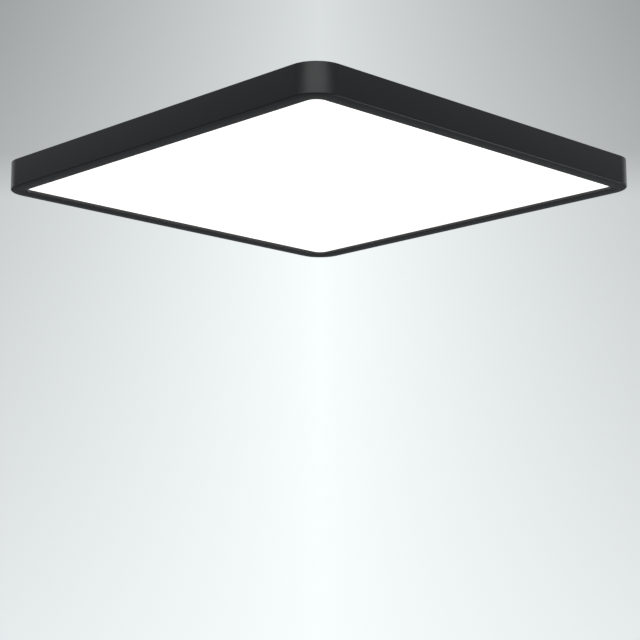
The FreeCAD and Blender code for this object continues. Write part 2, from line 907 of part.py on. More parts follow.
def socket_pins():
    """Two square pins, standing in the socket's back wall."""
    z = z_board_top + part_gap + socket_height / 2
    x0 = driver_east - socket_depth
    reach = pin_size / 2
    pins = []
    for s in (-1, 1):
        y = driver_y + s * pin_pitch / 2
        pins.append(block(x0, x0 + pin_length, y - reach, y + reach, z - reach, z + reach))
    return pins


def along_x(radius, length, x, y, z):
    """Cylinder along X, with its middle at that point."""
    return Part.makeCylinder(radius, length, Vector(x - length / 2, y, z), Vector(1, 0, 0))


def driver_tray():
    centre = (driver_x, driver_y)
    hx, hy = driver_length / 2, driver_width / 2
    shell = rounded_plate(hx, hy, driver_corner, z_back, driver_tray_height, centre)
    room_x, room_y = hx - driver_wall, hy - driver_wall
    z_room = z_back + driver_floor
    room = moved(block(-room_x, room_x, -room_y, room_y, z_room, z_tray_top + 1), *centre)
    tray = shell.cut(room)
    ears = []
    for s, p in zip((-1, 1), driver_screw_places()):
        middle = (p.x, driver_y + s * hy)
        ear = rounded_plate(ear_width / 2, ear_length, ear_round, z_back, ear_thickness, middle)
        ears.append(ear.cut(room))
    posts = [peg(lid_post_radius, head_sides, z_back, z_tray_top, p.x, p.y) for p in lid_screw_places()]
    tray = joined([tray] + ears + posts)
    ear_hole = small_screw_radius + screw_clearance
    pilot = lid_screw_radius + thread_clearance
    z_pilot = z_lid_top - lid_screw_length - pilot_floor
    z_ear = z_back + 2 * ear_thickness
    holes = [fastener_hole(ear_hole, z_back - 1, z_ear, p.x, p.y) for p in driver_screw_places()]
    holes += [fastener_hole(pilot, z_pilot, z_tray_top + 1, p.x, p.y) for p in lid_screw_places()]
    holes += [bar_box(y, bar_slot_gap) for y in pole_offsets]
    holes.append(socket_box(socket_gap))
    return bore_all(tray, holes)


def lid_rim_ring():
    """Rim under the lid that sits inside the tray's wall, cut clear of the screw posts."""
    z0 = z_tray_top - lid_rim_depth

    def box(inset):
        reach_x, reach_y = driver_length / 2 - inset, driver_width / 2 - inset
        return moved(block(-reach_x, reach_x, -reach_y, reach_y, z0, z_tray_top), driver_x, driver_y)

    outer = driver_wall + lid_gap
    rim = box(outer).cut(box(outer + lid_rim))
    room = lid_post_radius + lid_gap
    return bore_all(rim, [peg(room, head_sides, z0, z_tray_top, p.x, p.y) for p in lid_screw_places()])


def lid_ribs():
    """Cooling and grip ribs across the lid."""
    reach_x, reach_y = lid_rib_width / 2, lid_rib_length / 2
    rib = block(-reach_x, reach_x, -reach_y, reach_y, z_tray_top, z_lid_top + lid_rib_height)
    first = driver_x + lid_rib_x - (lid_rib_count - 1) * lid_rib_pitch / 2
    return [moved(rib, first + k * lid_rib_pitch, driver_y) for k in range(lid_rib_count)]


def driver_lid():
    hx, hy = driver_length / 2, driver_width / 2
    cover = rounded_plate(hx, hy, driver_corner, z_tray_top, lid_thickness, (driver_x, driver_y))
    edge = [e for e in cover.Edges if e.BoundBox.ZMin > z_lid_top - lid_thickness / 4]
    cover = cover.makeChamfer(lid_thickness / 3, edge)
    lid = joined([cover, lid_rim_ring()] + lid_ribs())
    hole = lid_screw_radius + screw_clearance
    holes = [fastener_hole(hole, z_tray_top - 1, z_lid_top + 1, p.x, p.y) for p in lid_screw_places()]
    travel = knob_stem / 2 + switch_travel + 2 * knob_gap
    across = knob_stem / 2 + 2 * knob_gap
    x, y = switch_centre()
    holes.append(block(x - travel, x + travel, y - across, y + across, z_tray_top - 1, z_lid_top + 1))
    return bore_all(lid, holes)


def driver_lid_screws():
    sizes = (lid_screw_radius, lid_screw_length, lid_screw_head_radius, lid_screw_head_height)
    return [pan_screw(p.x, p.y, z_lid_top, *sizes) for p in lid_screw_places()]


def capacitor_places():
    """Middle and size of each can: one main capacitor and two output ones, lying in board cut-outs."""
    main = (driver_west + main_capacitor_west, driver_y + main_capacitor_y)
    places = [(*main, main_capacitor_radius, main_capacitor_length)]
    x = driver_east - output_capacitor_east
    for s in (-1, 1):
        y = driver_y + s * output_capacitor_y
        places.append((x, y, output_capacitor_radius, output_capacitor_length))
    return places


def driver_board():
    hx = driver_length / 2 - driver_wall - driver_board_gap
    hy = driver_width / 2 - driver_wall - driver_board_gap
    board = rounded_plate(hx, hy, 1.0, z_driver_board, driver_board_thickness, (driver_x, driver_y))
    z0, z1 = z_driver_board - 1, z_board_top + 1
    cutters = []
    for x, y, radius, length in capacitor_places():
        reach_x, reach_y = length / 2 + cutout_gap, radius + cutout_gap
        cutters.append(block(x - reach_x, x + reach_x, y - reach_y, y + reach_y, z0, z1))
    for p in lid_screw_places():
        reach = lid_post_radius + post_gap
        out_x = math.copysign(lid_screw_inset, p.x - driver_x)
        out_y = math.copysign(lid_screw_inset, p.y - driver_y)
        xs = sorted((p.x + out_x, p.x - math.copysign(reach, out_x)))
        ys = sorted((p.y + out_y, p.y - math.copysign(reach, out_y)))
        cutters.append(block(*xs, *ys, z0, z1))
    return bore_all(board, cutters)


def capacitors():
    z_floor = z_back + driver_floor
    return [
        along_x(radius, length, x, y, z_floor + radius + part_gap)
        for x, y, radius, length in capacitor_places()
    ]


def winding_windows(gap, z0, z1):
    """The core's two windows, each shrunk by gap."""
    x, y = driver_x + transformer_x, driver_y
    window = (core_length - 3 * core_leg) / 2 - 2 * gap
    reach_y = core_width / 2 - core_leg / 2 - gap
    boxes = []
    for s in (-1, 1):
        middle = x + s * (core_leg / 2 + gap + window / 2)
        boxes.append(block(middle - window / 2, middle + window / 2, y - reach_y, y + reach_y, z0, z1))
    return boxes


def transformer_core():
    """Two E halves as one block with two windows for the winding."""
    x, y = driver_x + transformer_x, driver_y
    z0 = z_board_top + part_gap
    z1 = z0 + core_height
    reach_x, reach_y = core_length / 2, core_width / 2
    core = block(x - reach_x, x + reach_x, y - reach_y, y + reach_y, z0, z1)
    return bore_all(core, winding_windows(0, z0 - 1, z1 + 1))


def transformer_winding():
    """Copper winding round the core's middle leg, seen in the two windows."""
    z0 = z_board_top + 2 * part_gap
    return winding_windows(winding_gap, z0, z0 + core_height - 2 * part_gap)


def film_capacitor():
    length, width, tall = film_capacitor_size
    x, y = driver_west + film_capacitor_west, driver_y + film_capacitor_y
    z0 = z_board_top + part_gap
    body = block(x - length / 2, x + length / 2, y - width / 2, y + width / 2, z0, z0 + tall)
    crown = [e for e in body.Edges if e.BoundBox.ZMin > z0 + tall / 2]
    return body.makeChamfer(film_capacitor_chamfer, crown)


def filter_choke():
    """Ring core under its winding."""
    x, y = driver_west + choke_west, driver_y + choke_y
    z0 = z_board_top + part_gap
    ring = cylinder(choke_radius, z0, z0 + choke_height, x, y)
    return ring.cut(cylinder(choke_bore_radius, z0 - 1, z0 + choke_height + 1, x, y))


def driver_fuse():
    z = z_board_top + part_gap + fuse_radius
    return along_x(fuse_radius, fuse_length, driver_west + fuse_west, driver_y + fuse_y, z)


def power_chips():
    length, width, tall = power_chip_size
    z0 = z_board_top + part_gap
    places = [(driver_west + x, driver_y + y) for x, y in west_chips]
    places += [(driver_east - x, driver_y + y) for x, y in east_chips]
    chip = block(-length / 2, length / 2, -width / 2, width / 2, z0, z0 + tall)
    return [moved(chip, *place) for place in places]


# --------------------------------------------------------------------------------------------------
# Colour temperature switch
# --------------------------------------------------------------------------------------------------


def switch_centre():
    return (driver_east - switch_east, driver_y + switch_y)


def switch_block(reach_x, reach_y, z0, z1):
    """Block round the switch's middle."""
    x, y = switch_centre()
    return block(x - reach_x, x + reach_x, y - reach_y, y + reach_y, z0, z1)


def switch_case():
    """Slide switch body: stands on the driver board, open at the top for the knob's stem."""
    z1 = z_tray_top - part_gap
    z_room = z1 - switch_wall
    body = switch_block(switch_length / 2, switch_width / 2, z_board_top + part_gap, z1)
    play = switch_travel + knob_gap
    z_floor = z_room - knob_base_height - 2 * knob_gap
    room = switch_block(knob_base_length / 2 + play, switch_width / 2 - switch_wall, z_floor, z_room)
    slot = switch_block(knob_stem / 2 + play, knob_stem / 2 + knob_gap, z_room - 1, z1 + 1)
    return body.cut(room.fuse(slot))


def switch_knob():
    z_room = z_tray_top - part_gap - switch_wall
    z0 = z_room - knob_base_height - knob_gap
    across = switch_width / 2 - switch_wall - knob_gap
    base = switch_block(knob_base_length / 2, across, z0, z_room - knob_gap)
    return base.fuse(switch_block(knob_stem / 2, knob_stem / 2, z0, z_lid_top + knob_proud))


# --------------------------------------------------------------------------------------------------
# Terminal block
# --------------------------------------------------------------------------------------------------


def placed_terminal(shape):
    """Turns a piece built facing +Y to face -X, with its back beside the driver."""
    return moved(turned(shape, 90), terminal_back_x, driver_y)


def button_well(x, gap):
    """Sides of a release button's shaft, grown by gap."""
    y = terminal_depth - button_back
    reach_x, reach_y = button_width / 2 + gap, button_length / 2 + gap
    return (x - reach_x, x + reach_x, y - reach_y, y + reach_y)


def entry_funnel(x, z):
    """Square lead-in round a wire entry, narrow inside and wide at the front."""
    narrow, wide = entry_size / 2, entry_mouth / 2
    low = (x - narrow, terminal_depth - entry_mouth_depth, z - narrow, z - wide, x - wide)
    high = (x + narrow, terminal_depth, z + narrow, z + wide, x + wide)
    return Part.makeWedge(*low, *high)


def terminal_housing():
    half_width = terminal_width / 2
    z_top = z_back + terminal_height
    body = block(-half_width, half_width, 0, terminal_depth, z_back, z_top)
    crown = [e for e in body.Edges if e.BoundBox.ZMin > z_top - terminal_chamfer]
    body = body.makeChamfer(terminal_chamfer, crown)
    reach = half_width + terminal_flange
    middle = (0, terminal_depth / 2)
    flange = rounded_plate(
        reach, terminal_flange_depth / 2, terminal_flange_round, z_back, terminal_flange_thickness, middle
    )
    body = body.fuse(flange)
    z_entry = z_back + entry_height
    reach = entry_size / 2
    cutters = []
    start, end = terminal_depth - entry_depth, terminal_depth + 1
    for x in pole_offsets:
        cutters.append(block(x - reach, x + reach, start, end, z_entry - reach, z_entry + reach))
        cutters.append(entry_funnel(x, z_entry))
        z_well = z_button() - button_travel - button_gap
        cutters.append(block(*button_well(x, button_gap), z_well, z_top + 1))
    body = placed_terminal(bore_all(body, cutters))
    cutters = [bar_box(y, bar_slot_gap) for y in pole_offsets]
    hole = small_screw_radius + screw_clearance
    z_hole = z_back + 2 * terminal_flange_thickness
    cutters += [fastener_hole(hole, z_back - 1, z_hole, p.x, p.y) for p in terminal_screw_places()]
    return bore_all(body, cutters)


def z_button():
    """Level of a released button's lower end, just above the clamp spring."""
    return z_back + entry_height - entry_size / 2 + clamp_rise + clamp_thickness + part_gap


def release_button(x):
    """Button over the clamp spring. Pressed down, it opens the clamp."""
    z0 = z_button()
    z1 = z_back + terminal_height + button_proud
    button = block(*button_well(x, 0), z0, z1)
    crown = [e for e in button.Edges if e.BoundBox.ZMin > z1 - button_round]
    return placed_terminal(button.makeFillet(button_round, crown))


def clamp_spring(x):
    """Bent leaf in a pole's wire channel, rising towards the back."""
    z0 = z_back + entry_height - entry_size / 2 + part_gap
    z1 = z0 + clamp_thickness
    points = [(0, z1), (clamp_foot, z1), (clamp_length, z0 + clamp_rise)]
    leaf = turned(bent_sheet(points, clamp_thickness, clamp_width, clamp_bend), -90)
    return placed_terminal(moved(leaf, x, terminal_depth - button_back + clamp_length / 2))


def contact_bars():
    return [bar_box(y, 0) for y in pole_offsets]


# --------------------------------------------------------------------------------------------------
# Earth point, feed connector, grommet
# --------------------------------------------------------------------------------------------------


def earth_washer():
    ring = cylinder(washer_radius, z_back, z_back + washer_thickness, earth_x, earth_y)
    hole = small_screw_radius + screw_clearance
    return ring.cut(fastener_hole(hole, z_back - 1, z_back + 1, earth_x, earth_y))


def feed_connector():
    """Small plug on the end of the east board, where the supply comes in."""
    z0, z1 = z_guide_middle - connector_height / 2, z_guide_middle + connector_height / 2
    y1 = -(board_length / 2 + connector_gap)
    return block(guide_half + connector_gap, rail_face, y1 - connector_length, y1, z0, z1)


def cable_grommet():
    """Rubber grommet, with its groove round the plate's edge."""
    p = grommet_place()
    groove = grommet_hole_radius - part_gap
    flange, bore = grommet_flange_radius, grommet_bore_radius
    z0, z1 = z_plate - grommet_flange_height, z_back + grommet_flange_height
    profile = [
        (bore, z0),
        (flange, z0),
        (flange, z_plate - part_gap),
        (groove, z_plate - part_gap),
        (groove, z_back + part_gap),
        (flange, z_back + part_gap),
        (flange, z1),
        (bore, z1),
        (bore, z0),
    ]
    return moved(spun(profile), p.x, p.y)


def small_screws(places, seat):
    length = seat - z_plate + screw_tail
    sizes = (small_screw_radius, length, small_screw_head_radius, small_screw_head_height)
    return [pan_screw(p.x, p.y, seat, *sizes) for p in places]


# --------------------------------------------------------------------------------------------------
# Write every piece
# --------------------------------------------------------------------------------------------------


def write_ceiling_side():
    export("mounting_strap", mounting_strap())
    stud, spring, rivet = hanging_stud(), lock_spring(), spring_rivet()
    export("hanging_studs", stud, turned(stud, 180))
    export("lock_springs", spring, turned(spring, 180))
    export("spring_rivets", rivet, turned(rivet, 180))
    export("ground_screw", ground_screw())


def write_lamp():
    export("bezel_frame", bezel_frame())
    export("diffuser", sheet_in_corner(diffuser_half, z_lip, diffuser_thickness))
    export("light_guide", sheet_in_corner(guide_half, z_guide, guide_thickness))
    export("reflector_film", sheet_in_corner(guide_half - film_inset, z_film, film_thickness))
    export("foam_pad", foam_pad())
    export("back_plate", back_plate())
    export("back_plate_screws", *back_plate_screws())
    rail, board, chips = led_rail(), led_board(), led_chips()
    for quarter, name in enumerate(SIDE_NAMES):
        export("led_rail_" + name, turned(rail, 90 * quarter))
        export("led_board_" + name, turned(board, 90 * quarter))
        export("led_chips_" + name, *[turned(c, 90 * quarter) for c in chips])
    export("corner_links", *corner_links())
    export("feed_connector", feed_connector())
    hanger = keyhole_hanger()
    export("keyhole_hanger_east", hanger)
    export("keyhole_hanger_west", turned(hanger, 180))
    export("hanger_rivets", *hanger_rivets())


def write_driver():
    export("driver_tray", driver_tray())
    export("driver_lid", driver_lid())
    export("driver_lid_screws", *driver_lid_screws())
    export("driver_board", driver_board())
    export("driver_capacitors", *capacitors())
    export("transformer_core", transformer_core())
    export("transformer_winding", *transformer_winding())
    export("film_capacitor", film_capacitor())
    export("filter_choke", filter_choke())
    export("driver_fuse", driver_fuse())
    export("power_chips", *power_chips())
    export("output_socket", output_socket())
    export("socket_pins", *socket_pins())
    export("driver_screws", *small_screws(driver_screw_places(), z_back + ear_thickness))
    export("switch_case", switch_case())
    export("switch_knob", switch_knob())


def write_terminal():
    export("terminal_housing", terminal_housing())
    export("contact_bars", *contact_bars())
    for name, x in zip(POLE_NAMES, pole_offsets):
        export("release_button_" + name, release_button(x))
        export("clamp_spring_" + name, clamp_spring(x))
    export("terminal_screws", *small_screws(terminal_screw_places(), z_back + terminal_flange_thickness))
    export("earth_washer", earth_washer())
    export("earth_screw", *small_screws([Vector(earth_x, earth_y, 0)], z_back + washer_thickness))
    export("cable_grommet", cable_grommet())


os.makedirs("parts", exist_ok=True)
write_ceiling_side()
write_lamp()
write_driver()
write_terminal()
print("pieces:", len([f for f in os.listdir("parts") if f.endswith(".step")]))
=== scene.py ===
# %% [markdown]
# # A square flush mount ceiling light, dressed for the camera
# The light is a thin black frame round a flat opal panel. Behind the panel are a steel back plate, a driver, a
# terminal block and two hangers, and a strap that stays on the ceiling. The solids come from the CAD model and
# stay where they are. This script gives them their real finishes and models again, with finer faces, the pieces
# whose rounded edges, recesses or bends the eye would miss. Everything is in metres, and sizes in the code are
# in millimetres times MM, because that is how the pieces are measured.

# %% Load the CAD model
import json
import math

import bpy
from mathutils import Matrix, Vector


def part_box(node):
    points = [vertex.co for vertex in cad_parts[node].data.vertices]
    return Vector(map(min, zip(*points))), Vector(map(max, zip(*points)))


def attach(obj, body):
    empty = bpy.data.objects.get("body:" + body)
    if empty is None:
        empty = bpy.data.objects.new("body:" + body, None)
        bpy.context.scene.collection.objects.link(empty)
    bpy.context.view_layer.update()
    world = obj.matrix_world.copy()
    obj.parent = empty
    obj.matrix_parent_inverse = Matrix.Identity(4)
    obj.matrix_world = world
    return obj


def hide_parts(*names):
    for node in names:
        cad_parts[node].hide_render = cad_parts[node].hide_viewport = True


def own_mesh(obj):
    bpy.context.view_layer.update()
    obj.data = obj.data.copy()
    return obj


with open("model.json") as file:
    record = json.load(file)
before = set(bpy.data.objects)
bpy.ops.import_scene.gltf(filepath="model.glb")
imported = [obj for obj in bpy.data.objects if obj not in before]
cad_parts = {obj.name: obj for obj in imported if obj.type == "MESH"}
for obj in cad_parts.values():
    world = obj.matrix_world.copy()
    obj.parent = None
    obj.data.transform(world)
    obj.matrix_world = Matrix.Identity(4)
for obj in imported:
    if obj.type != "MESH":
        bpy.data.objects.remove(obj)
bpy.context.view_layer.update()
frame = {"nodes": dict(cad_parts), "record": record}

MM = 0.001
nodes = frame["nodes"]


# %% [markdown]
# ## Camera
# The photograph looks up at the light from below one corner. Its place was worked out from the picture: the
# straight edges of the frame were followed in the image, and a pinhole camera was fitted so that the corners of
# a 400 mm square land on them. A camera can be aimed with a constraint, but a fitted view also has a little
# roll, so its three axes are written down as a matrix. That keeps the roll and needs no target object.

# %% Camera at the photograph's view
right = Vector((0.702923, 0.711257, -0.003594))
up = Vector((0.134199, -0.12766, 0.982697))
forward = Vector((-0.698492, 0.691242, 0.185185))
viewpoint = Vector((1062.61, -1050.416, -424.582)) * MM
camera_data = bpy.data.cameras.new("camera")
camera_data.lens = 97.831
camera_data.sensor_width = 36.0
camera_data.clip_end = 50.0
camera = bpy.data.objects.new("camera", camera_data)
bpy.context.scene.collection.objects.link(camera)
turn = Matrix((right, up, -forward)).transposed().to_4x4()
camera.matrix_world = Matrix.Translation(viewpoint) @ turn
bpy.context.scene.camera = camera
print("camera looks up by", round(math.degrees(math.asin(forward.z)), 1), "degrees")

# %% [markdown]
# ## Colours and nodes
# Every colour below is an sRGB hex value, as a paint chart gives it, but Cycles works with linear light. One
# function turns the one into the other. Materials are small networks, so a second function adds a node, sets
# its values and joins its inputs in one line. It knows nothing about any kind of node, so it works for all.

# %% One colour function and one node function
def linear(code):
    """sRGB hex to linear red, green and blue."""
    parts = [int(code[i : i + 2], 16) / 255 for i in (1, 3, 5)]
    return [c / 12.92 if c <= 0.04045 else ((c + 0.055) / 1.055) ** 2.4 for c in parts] + [1.0]


def add(tree, kind, settings=None, **inputs):
    """Adds a node. settings are its own options; an input is a value or another node's output."""
    node = tree.nodes.new(kind)
    for name, value in (settings or {}).items():
        setattr(node, name, value)
    for name, value in inputs.items():
        socket = node.inputs[int(name[1:])] if name[0] == "_" else node.inputs[name.replace("_", " ")]
        if isinstance(value, bpy.types.NodeSocket):
            tree.links.new(value, socket)
        else:
            socket.default_value = value
    return node

# %% [markdown]
# ## Background, floor and lamps
# The picture's backdrop is a white wall that greys towards both sides, with a darker ceiling above it. A wall
# could carry that as paint, but a wall would also shade the light from other sides. The world does it better:
# its colour depends on the direction of view only, so nothing stands in the way. A plain floor lies where a
# room's would, 2.4 m down, and three soft lamps give the frame its gentle highlights.

# %% World with a pale wall and a darker ceiling
# Each stop up the picture, from 0 to 1, has how dark the sides get there and the share of it that reaches the
# middle. Between the two lists, hidden behind the lamp, the wall ends and the darker ceiling begins.
WALL_STOPS = [(0.0, 0.078, 0.03), (0.5, 0.153, 0.0), (0.69, 0.190, 0.0)]
CEILING_STOPS = [(0.76, 0.300, 0.345), (1.0, 0.366, 0.345)]
BACKDROP = WALL_STOPS + CEILING_STOPS
# How far the direction of view goes up at the picture's bottom and top, and sideways at its edges.
BOTTOM, TOP, EDGE = 0.005, 0.36, 0.185

world = bpy.data.worlds.new("pale_backdrop")
bpy.context.scene.world = world
world.use_nodes = True
sky = world.node_tree
sky.nodes.clear()
dot = {"operation": "DOT_PRODUCT"}
direction = add(sky, "ShaderNodeTexCoord").outputs["Generated"]
height = add(sky, "ShaderNodeSeparateXYZ", _0=direction).outputs["Z"]
rise = add(sky, "ShaderNodeMapRange", Value=height, From_Min=BOTTOM, From_Max=TOP).outputs[0]
sideways = add(sky, "ShaderNodeVectorMath", dot, _0=direction, _1=right).outputs["Value"]
sideways = add(sky, "ShaderNodeMath", {"operation": "ABSOLUTE"}, _0=sideways).outputs[0]
side_part = add(sky, "ShaderNodeMapRange", Value=sideways, From_Min=0.0, From_Max=EDGE).outputs[0]
shade = add(sky, "ShaderNodeValToRGB", Fac=rise)
stops = shade.color_ramp.elements
for height_up, _, _ in BACKDROP[1:-1]:
    stops.new(height_up)
for stop, (_, darkness, share) in zip(stops, BACKDROP):
    stop.color = (darkness, share, 0, 1)
shares = add(sky, "ShaderNodeSeparateColor", _0=shade.outputs[0])
spread = add(sky, "ShaderNodeMapRange", Value=side_part, To_Min=shares.outputs[1], To_Max=1.0).outputs[0]
loss = add(sky, "ShaderNodeMath", {"operation": "MULTIPLY"}, _0=spread, _1=shares.outputs[0]).outputs[0]
tone = add(sky, "ShaderNodeMath", {"operation": "SUBTRACT"}, _0=1.0, _1=loss).outputs[0]
tone = add(sky, "ShaderNodeMath", {"operation": "POWER"}, _0=tone, _1=2.25).outputs[0]
print("backdrop stops:", [round(stop.position, 2) for stop in stops])

# %% Room round the picture
# Outside the picture the room is bright ahead on both sides, dark at right angles and bright behind the
# camera. The frame's flat sides mirror the dark parts, and its round corners the bright ones. Each range runs
# over how far a direction goes ahead, or sideways.
BEHIND = dict(From_Min=-0.4, From_Max=-0.65, To_Min=0.26, To_Max=0.95)
IN_FRONT = dict(From_Min=0.42, From_Max=0.58)
BESIDE = dict(From_Min=0.25, From_Max=0.6, To_Min=1.0, To_Max=1.8)
ahead = add(sky, "ShaderNodeVectorMath", dot, _0=direction, _1=forward).outputs["Value"]
room = add(sky, "ShaderNodeMapRange", Value=ahead, **BEHIND).outputs[0]
front = add(sky, "ShaderNodeMapRange", Value=ahead, **IN_FRONT).outputs[0]
glow = add(sky, "ShaderNodeMapRange", Value=sideways, **BESIDE).outputs[0]
tone = add(sky, "ShaderNodeMath", {"operation": "MULTIPLY"}, _0=tone, _1=glow).outputs[0]
tone = add(sky, "ShaderNodeMapRange", Value=front, To_Min=room, To_Max=tone).outputs[0]
back = add(sky, "ShaderNodeBackground", Color=linear("#f9feff"), Strength=tone)
add(sky, "ShaderNodeOutputWorld", Surface=back.outputs[0])
bpy.context.scene.view_settings.view_transform = "Standard"
print("backdrop nodes:", len(sky.nodes))

# %% Floor and three soft lamps
bpy.ops.object.select_all(action="DESELECT")
bpy.ops.mesh.primitive_plane_add(size=60.0, location=(0, 0, -2.4))
floor = bpy.context.object
floor.name = "floor"
matt_floor = bpy.data.materials.new("pale_plaster_floor")
matt_floor.use_nodes = True
plaster = matt_floor.node_tree.nodes["Principled BSDF"].inputs
plaster["Base Color"].default_value = linear("#98999c")
plaster["Roughness"].default_value = 0.9
floor.data.materials.append(matt_floor)


def soft_lamp(name, place, size, power):
    """A square area lamp that faces the light's middle, in metres and watts."""
    data = bpy.data.lights.new(name, "AREA")
    data.size, data.energy = size, power
    lamp = bpy.data.objects.new(name, data)
    bpy.context.scene.collection.objects.link(lamp)
    aim = (-Vector(place)).to_track_quat("-Z", "Y").to_matrix().to_4x4()
    lamp.matrix_world = Matrix.Translation(place) @ aim
    lamp.visible_camera = False


# The first stands behind the camera, for the soft band on the near corner. The low one draws the thin bright
# line along the frame's lower edge on the right, and the one above lights the back.
soft_lamp("lamp_corner", (1.45, -1.5, 0.75), 2.8, 21.0)
soft_lamp("lamp_low", (0.44, 1.66, -1.67), 0.3, 10.0)
soft_lamp("lamp_above", (-0.9, 0.8, 1.6), 1.2, 16.0)

# %% [markdown]
# ## Modelling helpers
# A piece is made as it would be by hand: add a primitive at its size, go to edit mode, select some faces or
# edges, and use one operator on them. The first helpers add a box or an upright cylinder between two heights.
# A primitive could be scaled and moved as an object, but then its patterns would be stretched, so its place and
# size are applied to its mesh at once.

# %% Adding a primitive
def select_only(*pieces):
    """Object mode, with these objects selected and the first one active."""
    if bpy.context.mode != "OBJECT":
        bpy.ops.object.mode_set(mode="OBJECT")
    bpy.ops.object.select_all(action="DESELECT")
    for piece in pieces:
        piece.select_set(True)
    if pieces:
        bpy.context.view_layer.objects.active = pieces[0]


def new_piece(name, primitive, stretch=(1, 1, 1), **options):
    """Adds a primitive with its place and size in the mesh, and makes it the only selected object."""
    select_only()
    getattr(bpy.ops.mesh, "primitive_" + primitive + "_add")(**options)
    piece = bpy.context.object
    piece.name = name
    piece.scale = stretch
    bpy.ops.object.transform_apply(location=True, rotation=True, scale=True)
    return piece


def block(name, low, high):
    """A cube between two corners, in millimetres."""
    low, high = Vector(low) * MM, Vector(high) * MM
    return new_piece(name, "cube", high - low, size=1.0, location=(low + high) / 2)


def drum(name, radius, z0, z1, sides=40, x=0.0, y=0.0):
    """An upright cylinder, in millimetres."""
    middle = (x * MM, y * MM, (z0 + z1) / 2 * MM)
    size = dict(vertices=sides, radius=radius * MM, depth=(z1 - z0) * MM)
    return new_piece(name, "cylinder", location=middle, **size)

# %% [markdown]
# By hand the selecting is done with the mouse. Here it is a small test on the place or the direction of a face,
# an edge or a point. A list of their numbers would be shorter, but a test keeps working when a size changes.

# %% Selecting by place or direction
def pick(piece, kind, test):
    """Edit mode, with the vertices, edges or faces selected that pass the test."""
    bpy.ops.object.mode_set(mode="EDIT")
    bpy.ops.mesh.select_mode(type=kind)
    bpy.ops.mesh.select_all(action="DESELECT")
    bpy.ops.object.mode_set(mode="OBJECT")
    points = [v.co.copy() for v in piece.data.vertices]
    if kind == "FACE":
        for face in piece.data.polygons:
            face.select = test(face.center, face.normal)
    elif kind == "EDGE":
        for edge in piece.data.edges:
            edge.select = test(*[points[i] for i in edge.vertices])
    else:
        for vertex in piece.data.vertices:
            vertex.select = test(vertex.co)
    bpy.ops.object.mode_set(mode="EDIT")


def facing(x=0.0, y=0.0, z=0.0):
    """Test for faces that look that way."""
    return lambda centre, normal: normal.dot(Vector((x, y, z))) > 0.99


def at_height(z):
    """Test for edges that lie at that height, in millimetres."""
    return lambda a, b: max(abs(a.z / MM - z), abs(b.z / MM - z)) < 0.01


def level(a, b):
    """Test for edges that lie level."""
    return abs(a.z - b.z) < 0.01 * MM


def upright(a, b):
    """Test for edges that stand upright."""
    return abs(a.z - b.z) > 0.3 * MM and (a - b).to_2d().length < 0.1 * MM


def across(a, b):
    """Test for edges that cross a strip, which lies along X."""
    return abs(a.y - b.y) > 1 * MM

# %% [markdown]
# Three operators then do most of the shaping, in millimetres. After them a piece is cleaned: doubled points are
# merged, its faces turned outwards, and only gentle bends are shaded smooth, so that flat faces stay flat.

# %% Shaping and finishing
def inset(thickness):
    """Draws the selected faces in by that many millimetres."""
    bpy.ops.mesh.inset(thickness=thickness * MM, use_even_offset=True)


def push(x=0.0, y=0.0, z=0.0):
    """Extrudes the selected faces by that many millimetres."""
    bpy.ops.mesh.extrude_region_move(TRANSFORM_OT_translate={"value": (x * MM, y * MM, z * MM)})


def soften(width, segments):
    """Rounds the selected edges."""
    round_off = dict(profile=0.5, affect="EDGES", clamp_overlap=False)
    bpy.ops.mesh.bevel(offset=width * MM, segments=segments, **round_off)


def finished(piece):
    """Doubles merged, normals outward, flat faces kept flat, and back to object mode."""
    select_only(piece)
    bpy.ops.object.mode_set(mode="EDIT")
    bpy.ops.mesh.select_all(action="SELECT")
    bpy.ops.mesh.remove_doubles(threshold=1e-6)
    bpy.ops.mesh.normals_make_consistent(inside=False)
    bpy.ops.object.mode_set(mode="OBJECT")
    bpy.ops.object.shade_smooth_by_angle(angle=math.radians(32))
    return piece


def carve(piece, cutter, operation="DIFFERENCE"):
    """Cuts one piece with another, or joins them, and removes the cutter."""
    select_only(piece)
    modifier = piece.modifiers.new("carve", "BOOLEAN")
    modifier.operation, modifier.solver, modifier.object = operation, "EXACT", cutter
    bpy.ops.object.modifier_apply(modifier="carve")
    bpy.data.objects.remove(cutter)

# %% [markdown]
# What repeats is modelled once. An array modifier could repeat it, but these copies stand round corners, so
# each gets its own move. At the end a piece says which body carries it, its finish and what it stands for.

# %% Copying, joining and dressing
def placed(piece, move):
    """Copy of a piece, with its own mesh, moved by a matrix."""
    copy = piece.copy()
    copy.data = piece.data.copy()
    copy.data.transform(move)
    bpy.context.scene.collection.objects.link(copy)
    return copy


def turned(degrees):
    """A turn about the upright axis."""
    return Matrix.Rotation(math.radians(degrees), 4, "Z")


def shifted(x=0.0, y=0.0, z=0.0):
    """A move by that many millimetres."""
    return Matrix.Translation(Vector((x, y, z)) * MM)


def gather(name, pieces):
    """Joins pieces into one object of that name."""
    select_only(*pieces)
    if len(pieces) > 1:
        bpy.ops.object.join()
    pieces[0].name = name
    return pieces[0]


def spread_out(name, model, moves, keep_model=False):
    """Copies the model once for each move, joins the copies and removes the model."""
    copies = [placed(model, move) for move in moves]
    if not keep_model:
        bpy.data.objects.remove(model)
    return gather(name, copies)


finish_of = {}


def dress(piece, body, finish, *replaced):
    """Says what carries a piece, which finish it gets, and which CAD nodes it stands for."""
    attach(piece, body)
    finish_of[piece.name] = finish
    if replaced:
        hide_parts(*replaced)
    print(piece.name, "faces:", len(piece.data.polygons))

